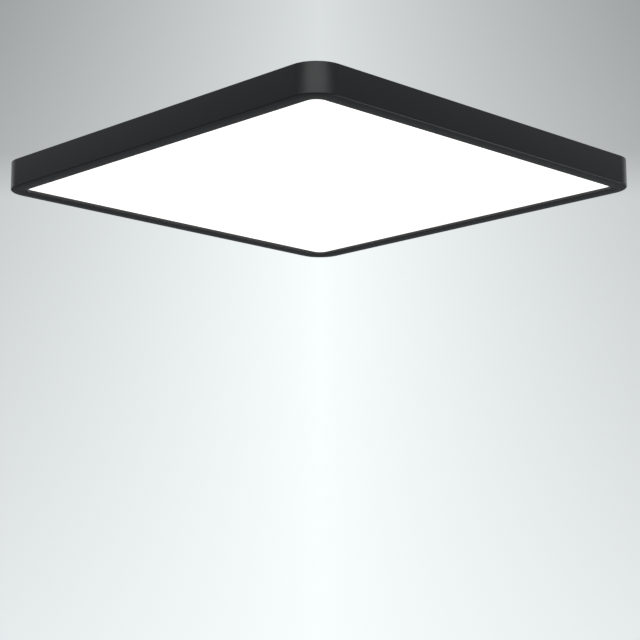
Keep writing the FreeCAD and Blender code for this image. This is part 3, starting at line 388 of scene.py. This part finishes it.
# %% [markdown]
# ## The frame
# The real frame is one black injection moulding: an upright wall with a lip turned in at the bottom, which
# shows as the bezel. It could be extruded from a section, but the corners would then need a sweep. A box works
# better here. Its four upright edges are bevelled to the 24 mm corners, the wall and the bezel come from
# insets of the top and the bottom face, and bridging the two inner faces opens the window. The insets keep
# every arc on the same centre, as a moulding tool does.

# %% Box with round corners, pocket from above and window
SIDE, CORNER, BEZEL, WALL = 400.0, 24.0, 14.5, 2.0
Z_RIM, Z_LIP, Z_FACE = -0.3, -22.9, -25.5


def inward(p):
    """How far a point lies inside the frame's outline, in millimetres."""
    x, y = abs(p.x) / MM - (SIDE / 2 - CORNER), abs(p.y) / MM - (SIDE / 2 - CORNER)
    return CORNER - math.hypot(max(x, 0), max(y, 0)) - min(max(x, y), 0)


moulding = block("frame_moulding", (-SIDE / 2, -SIDE / 2, Z_FACE), (SIDE / 2, SIDE / 2, Z_RIM))
pick(moulding, "EDGE", upright)
soften(CORNER, 24)
pick(moulding, "FACE", facing(z=1))
inset(WALL)
push(z=Z_LIP - Z_RIM)
inset(BEZEL - WALL)
pick(moulding, "FACE", facing(z=-1))
inset(BEZEL)
pick(moulding, "FACE", lambda c, n: abs(n.z) > 0.99 and inward(c) > 50)
bpy.ops.mesh.bridge_edge_loops()
print("frame faces before its edges are softened:", len(moulding.data.polygons))

# %% [markdown]
# No moulded edge is sharp. The lower outside edge has a 1 mm round, which catches the light as a thin line
# along the frame, and the window's edge and the rim have small ones. Each is a bevel on one ring of edges.

# %% Rounds on the frame's edges
pick(moulding, "EDGE", lambda a, b: at_height(Z_FACE)(a, b) and max(inward(a), inward(b)) < 0.1)
soften(1.0, 5)
pick(moulding, "EDGE", lambda a, b: at_height(Z_FACE)(a, b) and min(inward(a), inward(b)) > BEZEL - 0.1)
soften(0.4, 3)
pick(moulding, "EDGE", at_height(Z_RIM))
soften(0.35, 3)
finished(moulding)
dress(moulding, "lamp", "black_abs", "bezel_frame")

# %% [markdown]
# Inside, thin gussets tie the wall to the lip, and eight lugs take the back plate's screws. One gusset and one
# lug are modelled at the east side and then copied round, because a tool maker repeats them too. The gusset is
# a slim block with its inner top edge pulled down to a slope. Both reach a little into the wall and the lip, so
# that they grow out of them.

# %% Gussets
INNER = SIDE / 2 - WALL
ROOTED = 0.4
gusset = block("gusset", (INNER - 6.6, -0.75, Z_LIP - ROOTED), (INNER + ROOTED, 0.75, Z_LIP + 5.5))
pick(gusset, "VERT", lambda p: p.x < (INNER - 6) * MM and p.z > Z_LIP * MM)
bpy.ops.transform.translate(value=(0, 0, -4.5 * MM))
pick(gusset, "EDGE", lambda a, b: not across(a, b) and abs(a.x - b.x) > 1 * MM and a.z > Z_LIP * MM)
soften(0.3, 2)
finished(gusset)
stations = [k * 35.0 for k in (-4, -3, -2, -1, 1, 2, 3, 4)]
moves = [turned(90 * quarter) @ shifted(y=s) for quarter in range(4) for s in stations]
gussets = spread_out("frame_gussets", gusset, moves)
dress(gussets, "lamp", "black_abs")

# %% Screw lugs
# The back plate lies on the lugs.
PLATE, Z_PLATE = 0.8, -15.95
Z_BACK = Z_PLATE + PLATE
# How far in from the wall a pilot stands, at the sides and in the corners.
SIDE_INSET, CORNER_INSET = 3.8, 3.5
corner_orbit = CORNER - WALL - CORNER_INSET
corner_offset = SIDE / 2 - CORNER + corner_orbit / math.sqrt(2)
lug_moves = []
for quarter in range(4):
    lug_moves.append(turned(90 * quarter) @ shifted(x=INNER - SIDE_INSET))
    lug_moves.append(turned(90 * quarter) @ shifted(corner_offset, corner_offset) @ turned(45))
lug = block("lug", (-3.0, -3.0, Z_LIP - ROOTED), (4.4, 3.0, Z_PLATE))
pick(lug, "EDGE", lambda a, b: upright(a, b) and a.x < 0)
soften(0.6, 3)
carve(lug, drum("pilot", 1.4, -21.5, -10.0, 24))
finished(lug)
lugs = spread_out("frame_lugs", lug, lug_moves)
dress(lugs, "lamp", "black_abs")

# %% [markdown]
# ## Screws
# The light has pan head screws in three sizes: eight hold the back plate, five are in the driver's ears, the
# terminal block and the earth point, and two close the driver. Each is made from a drum: the top edge is
# rounded, the underside is inset to the shank and pushed down, and the cross is cut by two tapered blades.
# Threads sit inside bosses and show nowhere, so the shanks stay plain.

# %% One screw from a drum
TIP = 0.3


def cross_screw(name, head_radius, head_height, shank_radius, length):
    """Pan head screw that points down, with its seat at z = 0."""
    screw = drum(name, head_radius, 0, head_height, 36)
    pick(screw, "EDGE", at_height(head_height))
    soften(head_height * 0.55, 4)
    pick(screw, "FACE", facing(z=-1))
    inset(head_radius - shank_radius)
    push(z=-length)
    inset(shank_radius * 0.35)
    bpy.ops.transform.translate(value=(0, 0, -TIP * MM))
    finished(screw)
    reach, width = head_radius * 0.6, head_radius * 0.16
    for angle in (0, 90):
        blade = block("blade", (-reach, -width, head_height * 0.35), (reach, width, head_height + 1))
        pick(blade, "VERT", lambda p: p.z < head_height * MM)
        bpy.ops.transform.resize(value=(0.55, 0.8, 1))
        select_only()
        blade.data.transform(turned(angle))
        carve(screw, blade)
    return finished(screw)


PAN_HEAD = dict(head_radius=2.8, head_height=1.7)
plate_screw = cross_screw("plate_screw", shank_radius=1.35, length=6.0, **PAN_HEAD)
# A screw stops where it is tight, so each cross stands at another angle.
turns = [17, 64, 33, 80, 5, 51, 29, 72]
moves = [m @ shifted(z=Z_BACK) @ turned(a) for m, a in zip(lug_moves, turns)]
plate_screws = spread_out("plate_screws", plate_screw, moves)
dress(plate_screws, "lamp", "screw_steel", "back_plate_screws")

# %% [markdown]
# The small screws differ in length, by how thick the piece under the head is, and the lid's have smaller heads.
# Their places are read from the CAD nodes that they replace, so they can't drift away from their holes. A node
# that holds several solids is split by how far its points lie apart, seen from above.

# %% Screws of the driver, terminal block, earth point and lid
def middles(node, gap=6.0):
    """Middles of a CAD node's solids, in millimetres. The gap lies between their width and their pitch."""
    groups = []
    for vertex in nodes[node].data.vertices:
        point = vertex.co / MM
        group = next((g for g in groups if (g[0] - point).to_2d().length < gap), None)
        if group is None:
            group = []
            groups.append(group)
        group.append(point)
    spans = [[(min(p[k] for p in g), max(p[k] for p in g)) for k in range(3)] for g in groups]
    return [Vector([(low + high) / 2 for low, high in span]) for span in spans]


def fit_screws(name, node, head_radius, head_height, shank_radius):
    """Replaces a node of screws with finer ones of the same height and place."""
    low, high = [c.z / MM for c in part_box(node)]
    seat = high - head_height
    model = cross_screw(name + "_model", head_radius, head_height, shank_radius, seat - low - TIP)
    moves = [shifted(p.x, p.y, seat) @ turned(23 + 41 * k) for k, p in enumerate(middles(node))]
    dress(spread_out(name, model, moves), "lamp", "screw_steel", node)


fit_screws("driver_fixings", "driver_screws", shank_radius=1.5, **PAN_HEAD)
fit_screws("terminal_fixings", "terminal_screws", shank_radius=1.5, **PAN_HEAD)
fit_screws("earth_fixing", "earth_screw", shank_radius=1.5, **PAN_HEAD)
fit_screws("lid_fixings", "driver_lid_screws", head_radius=2.1, head_height=1.0, shank_radius=1.1)

# %% [markdown]
# ## Rivets and the ground screw
# The hangers are held by blind rivets. The head is a low dome with the hollow that the broken mandrel leaves,
# and the tail under the plate is a rounded bulb. The strap's two spring rivets are the same turned over. The
# ground screw has a hexagonal head on a round washer face, with a slot across it, as the standard ones have.

# %% Blind rivets
def blind_rivet(name, head_radius, head_height, shank_radius, length, tail_radius=0, tail_height=0):
    """Rivet with its seat at z = 0, its head above and its tail, if it shows, below the sheets it joins."""
    rivet = drum(name, head_radius, 0, head_height, 32)
    pick(rivet, "EDGE", at_height(head_height))
    soften(head_height * 0.8, 4)
    pick(rivet, "FACE", lambda c, n: n.z > 0.99 and c.z > head_height * 0.9 * MM)
    bpy.ops.mesh.inset(thickness=(head_radius - head_height * 0.8) * 0.55 * MM)
    push(z=-head_height * 0.7)
    pick(rivet, "FACE", facing(z=-1))
    inset(head_radius - shank_radius)
    push(z=-length)
    if tail_height:
        finished(rivet)
        tail = drum("tail", tail_radius, -length - tail_height, -length, 32)
        pick(tail, "EDGE", level)
        soften(tail_height * 0.4, 3)
        finished(tail)
        carve(rivet, tail, "UNION")
    return finished(rivet)


HANGER = 1.2
size = dict(head_radius=3.0, head_height=1.0, shank_radius=1.6, tail_radius=2.6, tail_height=0.9)
rivet = blind_rivet("hanger_rivet", length=HANGER + PLATE, **size)
# The heads are 6 mm across, so the usual gap would split them.
spots = middles("hanger_rivets", gap=9.0)
rivets = spread_out("hanger_blind_rivets", rivet, [shifted(p.x, p.y, Z_BACK + HANGER) for p in spots])
dress(rivets, "lamp", "rivet_aluminium", "hanger_rivets")

STRAP, SPRING = 1.5, 0.4
Z_STRAP, Z_SPRING = -STRAP, -STRAP - SPRING
flip = Matrix.Rotation(math.pi, 4, "X")
size = dict(head_radius=2.6, head_height=0.8, shank_radius=1.5)
rivet = blind_rivet("spring_rivet", length=STRAP + SPRING, **size)
spots = middles("spring_rivets")
rivets = spread_out("spring_blind_rivets", rivet, [shifted(p.x, p.y, Z_SPRING) @ flip for p in spots])
dress(rivets, "ceiling_side", "rivet_aluminium", "spring_rivets")

# %% Hexagonal ground screw
WASHER_RADIUS, WASHER, HEAD, ACROSS_FLATS = 4.6, 0.8, 2.6, 7.0
# It stands on a collar that is pressed down from the strap.
GROUND_X, COLLAR = -21.0, 1.6
ground = drum("ground_hex_screw", WASHER_RADIUS, 0, WASHER, 40)
pick(ground, "EDGE", at_height(WASHER))
soften(0.3, 3)
pick(ground, "FACE", facing(z=-1))
inset(WASHER_RADIUS - 2.0)
push(z=-3.0)
finished(ground)
hexagon = drum("hexagon", ACROSS_FLATS / math.sqrt(3), WASHER / 2, HEAD, 6)
pick(hexagon, "EDGE", at_height(HEAD))
soften(0.35, 3)
finished(hexagon)
carve(ground, hexagon, "UNION")
carve(ground, block("slot", (-5, -0.5, HEAD - 1.0), (5, 0.5, HEAD + 1.4)))
finished(ground)
select_only()
ground.data.transform(shifted(GROUND_X, 0, Z_STRAP - COLLAR) @ flip @ turned(12))
dress(ground, "ceiling_side", "green_screw", "ground_screw")

# %% [markdown]
# ## Springs
# Two strips of spring steel are riveted under the strap. Each steps down to the hanger and has a pressed bump
# near its end, which drops into the hanger's window when the light is locked. A strip is a short bar whose end
# face is pushed along twice, with the two bends rounded after that. The bump is a slice of a cylinder joined on
# below, hollowed from above by a smaller one, as a press would leave it. While the light turns, the bump has
# to climb onto the hanger.

# %% Lock springs
def lying_drum(name, radius, x0, x1, y, z, sides=32):
    """A cylinder along X, in millimetres."""
    middle = Vector(((x0 + x1) / 2, y, z)) * MM
    spin = (0, math.pi / 2, 0)
    size = dict(vertices=sides, radius=radius * MM, depth=(x1 - x0) * MM)
    return new_piece(name, "cylinder", location=middle, rotation=spin, **size)


MIDLINE, HALF_WIDTH, STEP = -9.0, 3.0, 2.8
strip = block("lock_spring", (33.0, MIDLINE - HALF_WIDTH, Z_SPRING), (41.0, MIDLINE + HALF_WIDTH, Z_STRAP))
pick(strip, "FACE", facing(x=1))
push(x=10.0, z=-STEP)
push(x=11.0)
pick(strip, "EDGE", lambda a, b: across(a, b) and 40 * MM < a.x < 52 * MM)
soften(1.6, 4)
pick(strip, "EDGE", lambda a, b: upright(a, b) and not 34 * MM < a.x < 61 * MM)
soften(1.6, 5)
finished(strip)
# The bump's cylinder and the dent's lie on one axis above the strip, and only their lowest slices count.
Z_AXIS = -3.1
bump = lying_drum("bump", 2.6, 53.5, 58.5, MIDLINE, Z_AXIS)
pick(bump, "VERT", lambda p: True)
cut = (0, 0, (Z_STRAP - STEP - SPRING / 2) * MM)
bpy.ops.mesh.bisect(plane_co=cut, plane_no=(0, 0, 1), use_fill=True, clear_outer=True)
finished(bump)
carve(strip, bump, "UNION")
carve(strip, lying_drum("dent", 2.2, 53.9, 58.1, MIDLINE, Z_AXIS))
carve(strip, drum("hole", 1.52, -3, 0, 24, 37.0, MIDLINE))
finished(strip)
springs = spread_out("lock_spring_strips", strip, [turned(0), turned(180)])
dress(springs, "ceiling_side", "spring_steel", "lock_springs")
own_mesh(springs)

# %% [markdown]
# Behind each wire entry a small leaf grips the core. Its foot lies in the channel and its end rises to the
# back. The release button stands over it and presses it flat. It is made like the lock spring, a bar with its
# end pushed up a slope.

# %% Clamp leaves
FOOT, BEND, ROW, Z_CHANNEL = -52.7, -50.7, -85.0, -12.6
leaf = block("clamp_leaf", (FOOT, ROW - 1.3, Z_CHANNEL), (BEND, ROW + 1.3, Z_CHANNEL + 0.4))
pick(leaf, "FACE", facing(x=1))
push(x=3.6, z=1.3)
push(x=1.4, z=0.5)
pick(leaf, "EDGE", lambda a, b: across(a, b) and abs(a.x / MM - BEND) < 0.1)
soften(0.5, 4)
pick(leaf, "EDGE", lambda a, b: upright(a, b) and a.x > (BEND + 4) * MM)
soften(0.6, 4)
finished(leaf)
for pole, offset in (("earth", -9.0), ("neutral", 0.0), ("live", 9.0)):
    copy = spread_out("clamp_leaf_" + pole, leaf, [shifted(y=offset)], keep_model=True)
    dress(copy, "lamp", "spring_steel", "clamp_spring_" + pole)
    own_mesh(copy)
bpy.data.objects.remove(leaf)

# %% [markdown]
# ## LEDs
# A row of small LEDs stands on each side's board and shines into the edge of the light guide. A real one is a
# white housing with a sunk window of yellow phosphor and a tinned terminal at each end. It is a box with an
# inset face pushed in for the window and both end faces pushed out for the terminals. There are over a hundred,
# so the model stays at a few dozen faces.

# %% One LED and its rows
low, high = [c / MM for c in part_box("led_chips_east")]
count = len(middles("led_chips_east"))
LED, HALF_BODY, TERMINAL = 3.5, 1.5, 0.22
led = block("led", (low.x, -HALF_BODY, low.z), (high.x, HALF_BODY, high.z))
pick(led, "FACE", facing(x=-1))
inset(0.4)
push(x=0.15)
pick(led, "FACE", lambda c, n: abs(n.y) > 0.99 and abs(c.y) > (HALF_BODY - 0.1) * MM)
bpy.ops.mesh.inset(thickness=TERMINAL * MM, use_individual=True)
bpy.ops.mesh.extrude_faces_move(TRANSFORM_OT_shrink_fatten={"value": TERMINAL * MM})
finished(led)
HOUSING, PHOSPHOR, TINNED = range(3)
for face in led.data.polygons:
    sunk = face.normal.x < -0.99 and face.center.x > (low.x + 0.1) * MM
    outer = abs(face.center.y) > (HALF_BODY + 0.02) * MM
    face.material_index = TINNED if outer else PHOSPHOR if sunk else HOUSING
span = (high.y - low.y - LED) / (count - 1)
steps = [(k - (count - 1) / 2) * span for k in range(count)]
for quarter, side in enumerate(("east", "north", "west", "south")):
    moves = [turned(90 * quarter) @ shifted(y=s) for s in steps]
    row = spread_out("led_row_" + side, led, moves, keep_model=True)
    dress(row, "lamp", ("led_housing", "led_phosphor", "tinned_ends"), "led_chips_" + side)
bpy.data.objects.remove(led)

# %% [markdown]
# ## Grommet
# Where the light's own supply goes down through the back plate, a rubber grommet keeps the steel edge off it.
# It is one ring with a groove. The model goes down level by level: a flange, an inset and a push for the
# groove, then the face is scaled out again for the lower flange, and a drum cuts the bore.

# %% Rubber grommet
low, high = [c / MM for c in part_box("cable_grommet")]
spot = (low + high) / 2
FLANGE, GROOVE, BORE, SLACK = 4.6, 3.35, 2.2, 0.05
grommet = drum("rubber_grommet", FLANGE, Z_BACK + SLACK, high.z, 40)
pick(grommet, "FACE", facing(z=-1))
inset(FLANGE - GROOVE)
push(z=-PLATE - 2 * SLACK)
push(z=-0.001)
bpy.ops.transform.resize(value=(FLANGE / GROOVE, FLANGE / GROOVE, 1), center_override=(0, 0, 0))
push(z=low.z - Z_PLATE + SLACK)
pick(grommet, "EDGE", lambda a, b: level(a, b) and min(a.xy.length, b.xy.length) > (FLANGE - 0.1) * MM)
soften(0.3, 3)
finished(grommet)
carve(grommet, drum("bore", BORE, -20, -10, 32))
pick(grommet, "EDGE", lambda a, b: level(a, b) and max(a.xy.length, b.xy.length) < (BORE + 0.1) * MM)
soften(0.3, 3)
finished(grommet)
select_only()
grommet.data.transform(shifted(spot.x, spot.y))
dress(grommet, "lamp", "black_rubber", "cable_grommet")

# %% [markdown]
# ## Finishes
# A finish is one shader whose plain values sit on its own sockets, and on top of it the few things that make
# the real surface look real: a grain or a grid for relief, a change of gloss, and a second tone. The patterns
# are sized in millimetres on Object coordinates. All pieces sit at the origin, so a pattern has the same size
# on every piece and doesn't slide.

# %% Steps that the finishes share
materials = {}


def finish(slot, name, code, roughness, metallic=0.0, **more):
    """New material for a slot of the record. Returns its tree and its shader."""
    material = bpy.data.materials.new(name)
    material.use_nodes = True
    tree = material.node_tree
    tree.nodes.clear()
    plain = dict(Base_Color=linear(code), Roughness=roughness, Metallic=metallic)
    shader = add(tree, "ShaderNodeBsdfPrincipled", **plain, **more)
    add(tree, "ShaderNodeOutputMaterial", Surface=shader.outputs[0])
    materials[slot] = material
    return tree, shader


def pattern(tree, kind, millimetres, stretch=(1, 1, 1), settings=None, **inputs):
    """A texture whose features are that many millimetres across. stretch makes them finer along an axis."""
    place = add(tree, "ShaderNodeTexCoord").outputs["Object"]
    if stretch != (1, 1, 1):
        place = add(tree, "ShaderNodeMapping", Vector=place, Scale=stretch).outputs[0]
    return add(tree, kind, settings, Vector=place, Scale=1 / (millimetres * MM), **inputs)


def relief(tree, shader, level, depth):
    """Bumps of that depth in millimetres."""
    bump = add(tree, "ShaderNodeBump", Height=level, Distance=depth * MM, Strength=0.6)
    tree.links.new(bump.outputs[0], shader.inputs["Normal"])


# A noise texture seldom leaves this range.
NOISE = dict(From_Min=0.3, From_Max=0.7)


def gloss_range(tree, shader, level, low, high):
    """Lets the roughness wander between two values."""
    wander = add(tree, "ShaderNodeMapRange", Value=level, To_Min=low, To_Max=high, **NOISE)
    tree.links.new(wander.outputs[0], shader.inputs["Roughness"])


def two_tones(tree, shader, level, first, second):
    """Mixes two colours by a pattern."""
    tones = add(tree, "ShaderNodeMix", {"data_type": "RGBA"}, _0=level, _6=linear(first), _7=linear(second))
    tree.links.new(tones.outputs[2], shader.inputs["Base Color"])

# %% [markdown]
# The frame is ABS, coloured black right through and moulded in a tool with a fine spark-eroded texture. That
# texture is why it looks matt and even and shows only a broad, soft highlight on its corners. The real grain is
# about 0.1 mm. It is drawn at 0.35 mm so that a close view shows it. Large, faint changes of gloss stand for
# the flow of the plastic and for handling.

# %% Black ABS of the frame
tree, shader = finish("black_abs", "moulded_black_abs", "#1d1d1e", 0.4, Specular_IOR_Level=0.5)
grain = pattern(tree, "ShaderNodeTexNoise", 0.35, Detail=3.0)
relief(tree, shader, grain.outputs[0], 0.02)
flow = pattern(tree, "ShaderNodeTexNoise", 45.0, Detail=2.0)
gloss_range(tree, shader, flow.outputs[0], 0.39, 0.41)
two_tones(tree, shader, flow.outputs[0], "#1c1c1d", "#1e1e1f")

# %% [markdown]
# The panel is opal acrylic with a satin face. Lit from inside it is the brightest thing in the picture, plain
# white from edge to edge, so its shader gives off light. The light wanders by a few percent with the satin
# grain, which shows only close up or where the panel is seen very flat.

# %% Opal panel, light guide, film and foam
tree, shader = finish("opal_diffuser", "satin_opal_acrylic", "#f7f7f4", 0.38, IOR=1.49)
grain = pattern(tree, "ShaderNodeTexNoise", 0.4, Detail=2.0)
relief(tree, shader, grain.outputs[0], 0.01)
glow = add(tree, "ShaderNodeMapRange", Value=grain.outputs[0], To_Min=1.12, To_Max=1.16, **NOISE)
shader.inputs["Emission Color"].default_value = linear("#fffefc")
tree.links.new(glow.outputs[0], shader.inputs["Emission Strength"])

# Clear cast acrylic. White dots printed on it turn the light out of the sheet, here every 1.6 mm.
clear = dict(IOR=1.49, Transmission_Weight=0.9)
tree, shader = finish("clear_acrylic", "clear_acrylic_with_dots", "#e9f1f0", 0.04, **clear)
dots = pattern(tree, "ShaderNodeTexVoronoi", 1.6, Randomness=0.0)
dots = add(tree, "ShaderNodeMapRange", Value=dots.outputs[0], From_Min=0.28, From_Max=0.32)
two_tones(tree, shader, dots.outputs[0], "#fbfbfa", "#e9f1f0")
gloss_range(tree, shader, dots.outputs[0], 0.6, 0.04)

# White reflector film with a pearly, slightly wavy face.
tree, shader = finish("white_film", "pearl_reflector_film", "#f4f4f2", 0.3, Sheen_Weight=0.1)
wave = pattern(tree, "ShaderNodeTexNoise", 14.0)
relief(tree, shader, wave.outputs[0], 0.15)
gloss_range(tree, shader, wave.outputs[0], 0.24, 0.38)

# Grey closed-cell foam with cells of about 0.8 mm, each painted darker towards the middle of its pit as painted
# shade.
tree, shader = finish("grey_foam", "closed_cell_foam", "#b9babb", 0.92)
cells_and_pit_shade = pattern(tree, "ShaderNodeTexVoronoi", 0.8)
relief(tree, shader, cells_and_pit_shade.outputs[0], 0.25)
# Painted shade: the colour darkens where the bump sinks each cell's pit, with the same pattern as the relief.
two_tones(tree, shader, cells_and_pit_shade.outputs[0], "#8f9092", "#c4c5c6")

# %% [markdown]
# ## Metals
# The back plate, the strap and the hangers are galvanised steel. Molten zinc freezes on the sheet in flat
# crystals a few millimetres wide, the spangle, and each crystal mirrors a little differently. Cells of a
# Voronoi texture give that: one random value for each cell drives both tone and gloss. The other metals have
# marks of how they were made: turned screws and studs have fine rings, and rolled or drawn strips have lines.

# %% Galvanised steel
tree, shader = finish("zinc_steel", "galvanised_steel_sheet", "#b4b8bb", 0.36, metallic=1.0)
crystals = pattern(tree, "ShaderNodeTexVoronoi", 4.0, (1, 1, 0.4), Randomness=1.0)
frost = pattern(tree, "ShaderNodeTexNoise", 0.9, Detail=4.0)
crystal = add(tree, "ShaderNodeSeparateColor", _0=crystals.outputs["Color"]).outputs[0]
two_tones(tree, shader, crystal, "#acb1b4", "#bbbfc2")
blend = add(tree, "ShaderNodeMath", {"operation": "MULTIPLY_ADD"}, _0=crystal, _1=0.6, _2=0.2)
gloss_range(tree, shader, blend.outputs[0], 0.36, 0.44)
relief(tree, shader, frost.outputs[0], 0.012)


# %% Turned, rolled and drawn metals
def marked_metal(slot, name, code, other, roughness, stretch, millimetres=0.5):
    """Metal with fine marks, which are lines along the axes whose stretch is below 1."""
    tree, shader = finish(slot, name, code, roughness, metallic=1.0)
    marks = pattern(tree, "ShaderNodeTexNoise", millimetres, stretch, Detail=3.0)
    relief(tree, shader, marks.outputs[0], 0.008)
    gloss_range(tree, shader, marks.outputs[0], roughness - 0.07, roughness + 0.09)
    two_tones(tree, shader, marks.outputs[0], code, other)


# Zinc plating over turned steel: level rings round each stud.
marked_metal("stud_steel", "zinc_plated_turned_steel", "#a2a6a9", "#b6babc", 0.3, (0.2, 0.2, 3.0))
# Spring steel strip, tempered: darker, with rolling lines along the strip.
marked_metal("spring_steel", "tempered_spring_steel", "#767b80", "#8c9196", 0.26, (0.1, 2.0, 2.0))
# Zinc plated screws have a cool cast and a fine, soft frost.
marked_metal("screw_steel", "blue_zinc_plated_steel", "#9aa0a6", "#b2b8bd", 0.28, (1, 1, 1), 0.35)
# Aluminium rivets: bright and a little scuffed.
marked_metal("rivet_aluminium", "bright_rivet_aluminium", "#c4c7c9", "#d6d8d9", 0.32, (1, 1, 1), 0.6)
# Extruded aluminium rails, unpolished: long level die lines on both directions of rail.
marked_metal("bare_aluminium", "mill_finish_aluminium", "#b9bcbf", "#cccfd1", 0.38, (0.04, 0.04, 4.0))
# Brass contact bars, stamped: warm, with lines along the bar.
marked_metal("brass_contact", "stamped_brass", "#c19a4b", "#d3b063", 0.27, (0.1, 2.0, 2.0))
# Tinned ends of the LEDs.
marked_metal("tinned_ends", "tinned_copper", "#c9cbcc", "#dadbdb", 0.3, (1, 1, 1), 0.2)

# Green chromate over zinc on the ground screw: still metal, but deep green and softly glossy.
tree, shader = finish("green_screw", "green_chromated_zinc", "#2f7d3d", 0.34, metallic=0.75)
film = pattern(tree, "ShaderNodeTexNoise", 1.6, Detail=2.0)
two_tones(tree, shader, film.outputs[0], "#276b34", "#3d8f4c")
gloss_range(tree, shader, film.outputs[0], 0.28, 0.42)

# %% [markdown]
# ## Plastics and small parts
# The driver's case, the terminal block, the buttons and the sockets are moulded too. They differ from the
# frame in colour and in how fine and how deep the tool's texture is, so one recipe serves them all.

# %% Moulded plastics and rubber
def moulded(slot, name, code, other, roughness, grain_size=0.3, depth=0.015, **more):
    """Plastic with a fine tool texture and a faint second tone from the flow."""
    tree, shader = finish(slot, name, code, roughness, **more)
    grain = pattern(tree, "ShaderNodeTexNoise", grain_size, Detail=3.0)
    relief(tree, shader, grain.outputs[0], depth)
    flow = pattern(tree, "ShaderNodeTexNoise", 18.0, Detail=2.0)
    two_tones(tree, shader, flow.outputs[0], code, other)
    gloss_range(tree, shader, flow.outputs[0], roughness - 0.05, roughness + 0.06)


# Polycarbonate of the driver's case: off-white, satin, with a slightly coarser texture.
moulded("white_polycarbonate", "satin_white_polycarbonate", "#e2e3e2", "#eaebea", 0.42, 0.5, 0.03, IOR=1.58)
# Nylon lets a little light in, so it looks softer than polycarbonate.
soft = dict(Subsurface_Weight=0.08, Subsurface_Scale=0.002)
moulded("grey_nylon", "light_grey_nylon", "#c4c7c8", "#cdd0d1", 0.46, **soft)
moulded("white_nylon", "natural_nylon", "#e6e6df", "#efefea", 0.42, **soft)
moulded("black_nylon", "black_nylon", "#242528", "#2b2c2f", 0.44)
# The slide's knob and the release buttons are smoother, where fingers and tools push them.
moulded("white_knob", "polished_white_acetal", "#ededeb", "#f3f3f1", 0.3, 0.3, 0.006)
moulded("orange_button", "orange_acetal", "#d0672a", "#dc7433", 0.32, 0.3, 0.008)
# Rubber is dull and dark, with a dusty second tone.
moulded("black_rubber", "black_epdm_rubber", "#1c1c1e", "#29292b", 0.72, 0.6, 0.04)
# Moulded epoxy of the power chips, laser-flat and dull.
moulded("chip_epoxy", "moulded_black_epoxy", "#202123", "#28292b", 0.55, 0.2, 0.01)
# Sintered ferrite looks like dark, dry stone.
moulded("ferrite", "sintered_ferrite", "#303236", "#3c3e42", 0.62, 0.45, 0.04)
# Box capacitor, glossy, and the glazed tube of the fuse.
moulded("film_capacitor_yellow", "glossy_yellow_box_moulding", "#d2ab26", "#dcb737", 0.25, 0.4, 0.006)
moulded("fuse_ceramic", "glazed_ceramic", "#d4cebd", "#ddd8c9", 0.2, 0.8, 0.01)
# Shrunk sleeve of the capacitors, smooth and slightly rippled.
moulded("capacitor_sleeve", "shrunk_pvc_sleeve", "#1a2030", "#232a3b", 0.3, 2.5, 0.05)
# White packages of the LEDs reflect as much as they can.
moulded("led_housing", "white_ppa_housing", "#efefec", "#f6f6f4", 0.4, 0.2, 0.008)

# %% [markdown]
# The last finishes are on parts that only show when the light is open: circuit boards with their copper under
# the green or white lacquer, the yellow phosphor of the LEDs, the amber film of the corner links and the
# taped winding of the transformer.

# %% Boards, phosphor, film and winding
def lacquered_board(slot, name, code, track, pitch):
    """Board whose copper shows as lighter tracks under a glossy lacquer."""
    tree, shader = finish(slot, name, code, 0.26, Coat_Weight=0.3)
    tracks = pattern(tree, "ShaderNodeTexBrick", pitch, settings={"offset": 0.5}, Mortar_Size=0.12)
    two_tones(tree, shader, tracks.outputs["Fac"], track, code)
    relief(tree, shader, tracks.outputs["Fac"], 0.03)


lacquered_board("green_board", "green_lacquered_board", "#1b5233", "#2a6d47", 3.2)
lacquered_board("white_board", "white_lacquered_board", "#f0f0ec", "#e4e4de", 4.0)

# Phosphor in clear silicone: warm yellow, smooth and slightly lit.
tree, shader = finish("led_phosphor", "yellow_phosphor_gel", "#ecd96f", 0.18, IOR=1.41)
grains = pattern(tree, "ShaderNodeTexNoise", 0.12, Detail=2.0)
two_tones(tree, shader, grains.outputs[0], "#e6cf5c", "#f2e38c")
shader.inputs["Emission Color"].default_value = linear("#fff2b0")
shader.inputs["Emission Strength"].default_value = 0.5

# Polyimide film: amber, with its copper lines showing through.
tree, shader = finish("amber_film", "amber_polyimide_film", "#b06a24", 0.22)
lines = pattern(tree, "ShaderNodeTexWave", 1.3, settings={"bands_direction": "Z"})
two_tones(tree, shader, lines.outputs[0], "#9a5a1c", "#c98a45")

# Polyester tape round the winding, with the copper turns showing through as ridges.
tree, shader = finish("copper_winding", "taped_copper_winding", "#cf9c38", 0.3)
ridges = pattern(tree, "ShaderNodeTexWave", 1.5, settings={"bands_direction": "Z"})
two_tones(tree, shader, ridges.outputs[0], "#b97f2a", "#dcae4c")
relief(tree, shader, ridges.outputs[0], 0.1)
print("finishes:", len(materials))

# %% [markdown]
# ## Putting the finishes on
# The record says which slot every CAD node takes its finish from, so those follow from it. The pieces made
# above carry the slot that they were dressed with, and the LEDs have three, one for each kind of face. Clearing
# a mesh's materials forgets which face had which, so that is kept and given back.

# %% Finishes onto nodes and pieces
for row in frame["record"]["subparts"]:
    node = nodes[row["node"]]
    for place in node.material_slots:
        place.material = materials[row["material_slot"]]

for name, slots in finish_of.items():
    piece = bpy.data.objects[name]
    slots = (slots,) if isinstance(slots, str) else slots
    kinds = [face.material_index for face in piece.data.polygons]
    piece.data.materials.clear()
    for slot in slots:
        piece.data.materials.append(materials[slot])
    for face, kind in zip(piece.data.polygons, kinds):
        face.material_index = min(kind, len(slots) - 1)
print("dressed pieces:", len(finish_of))
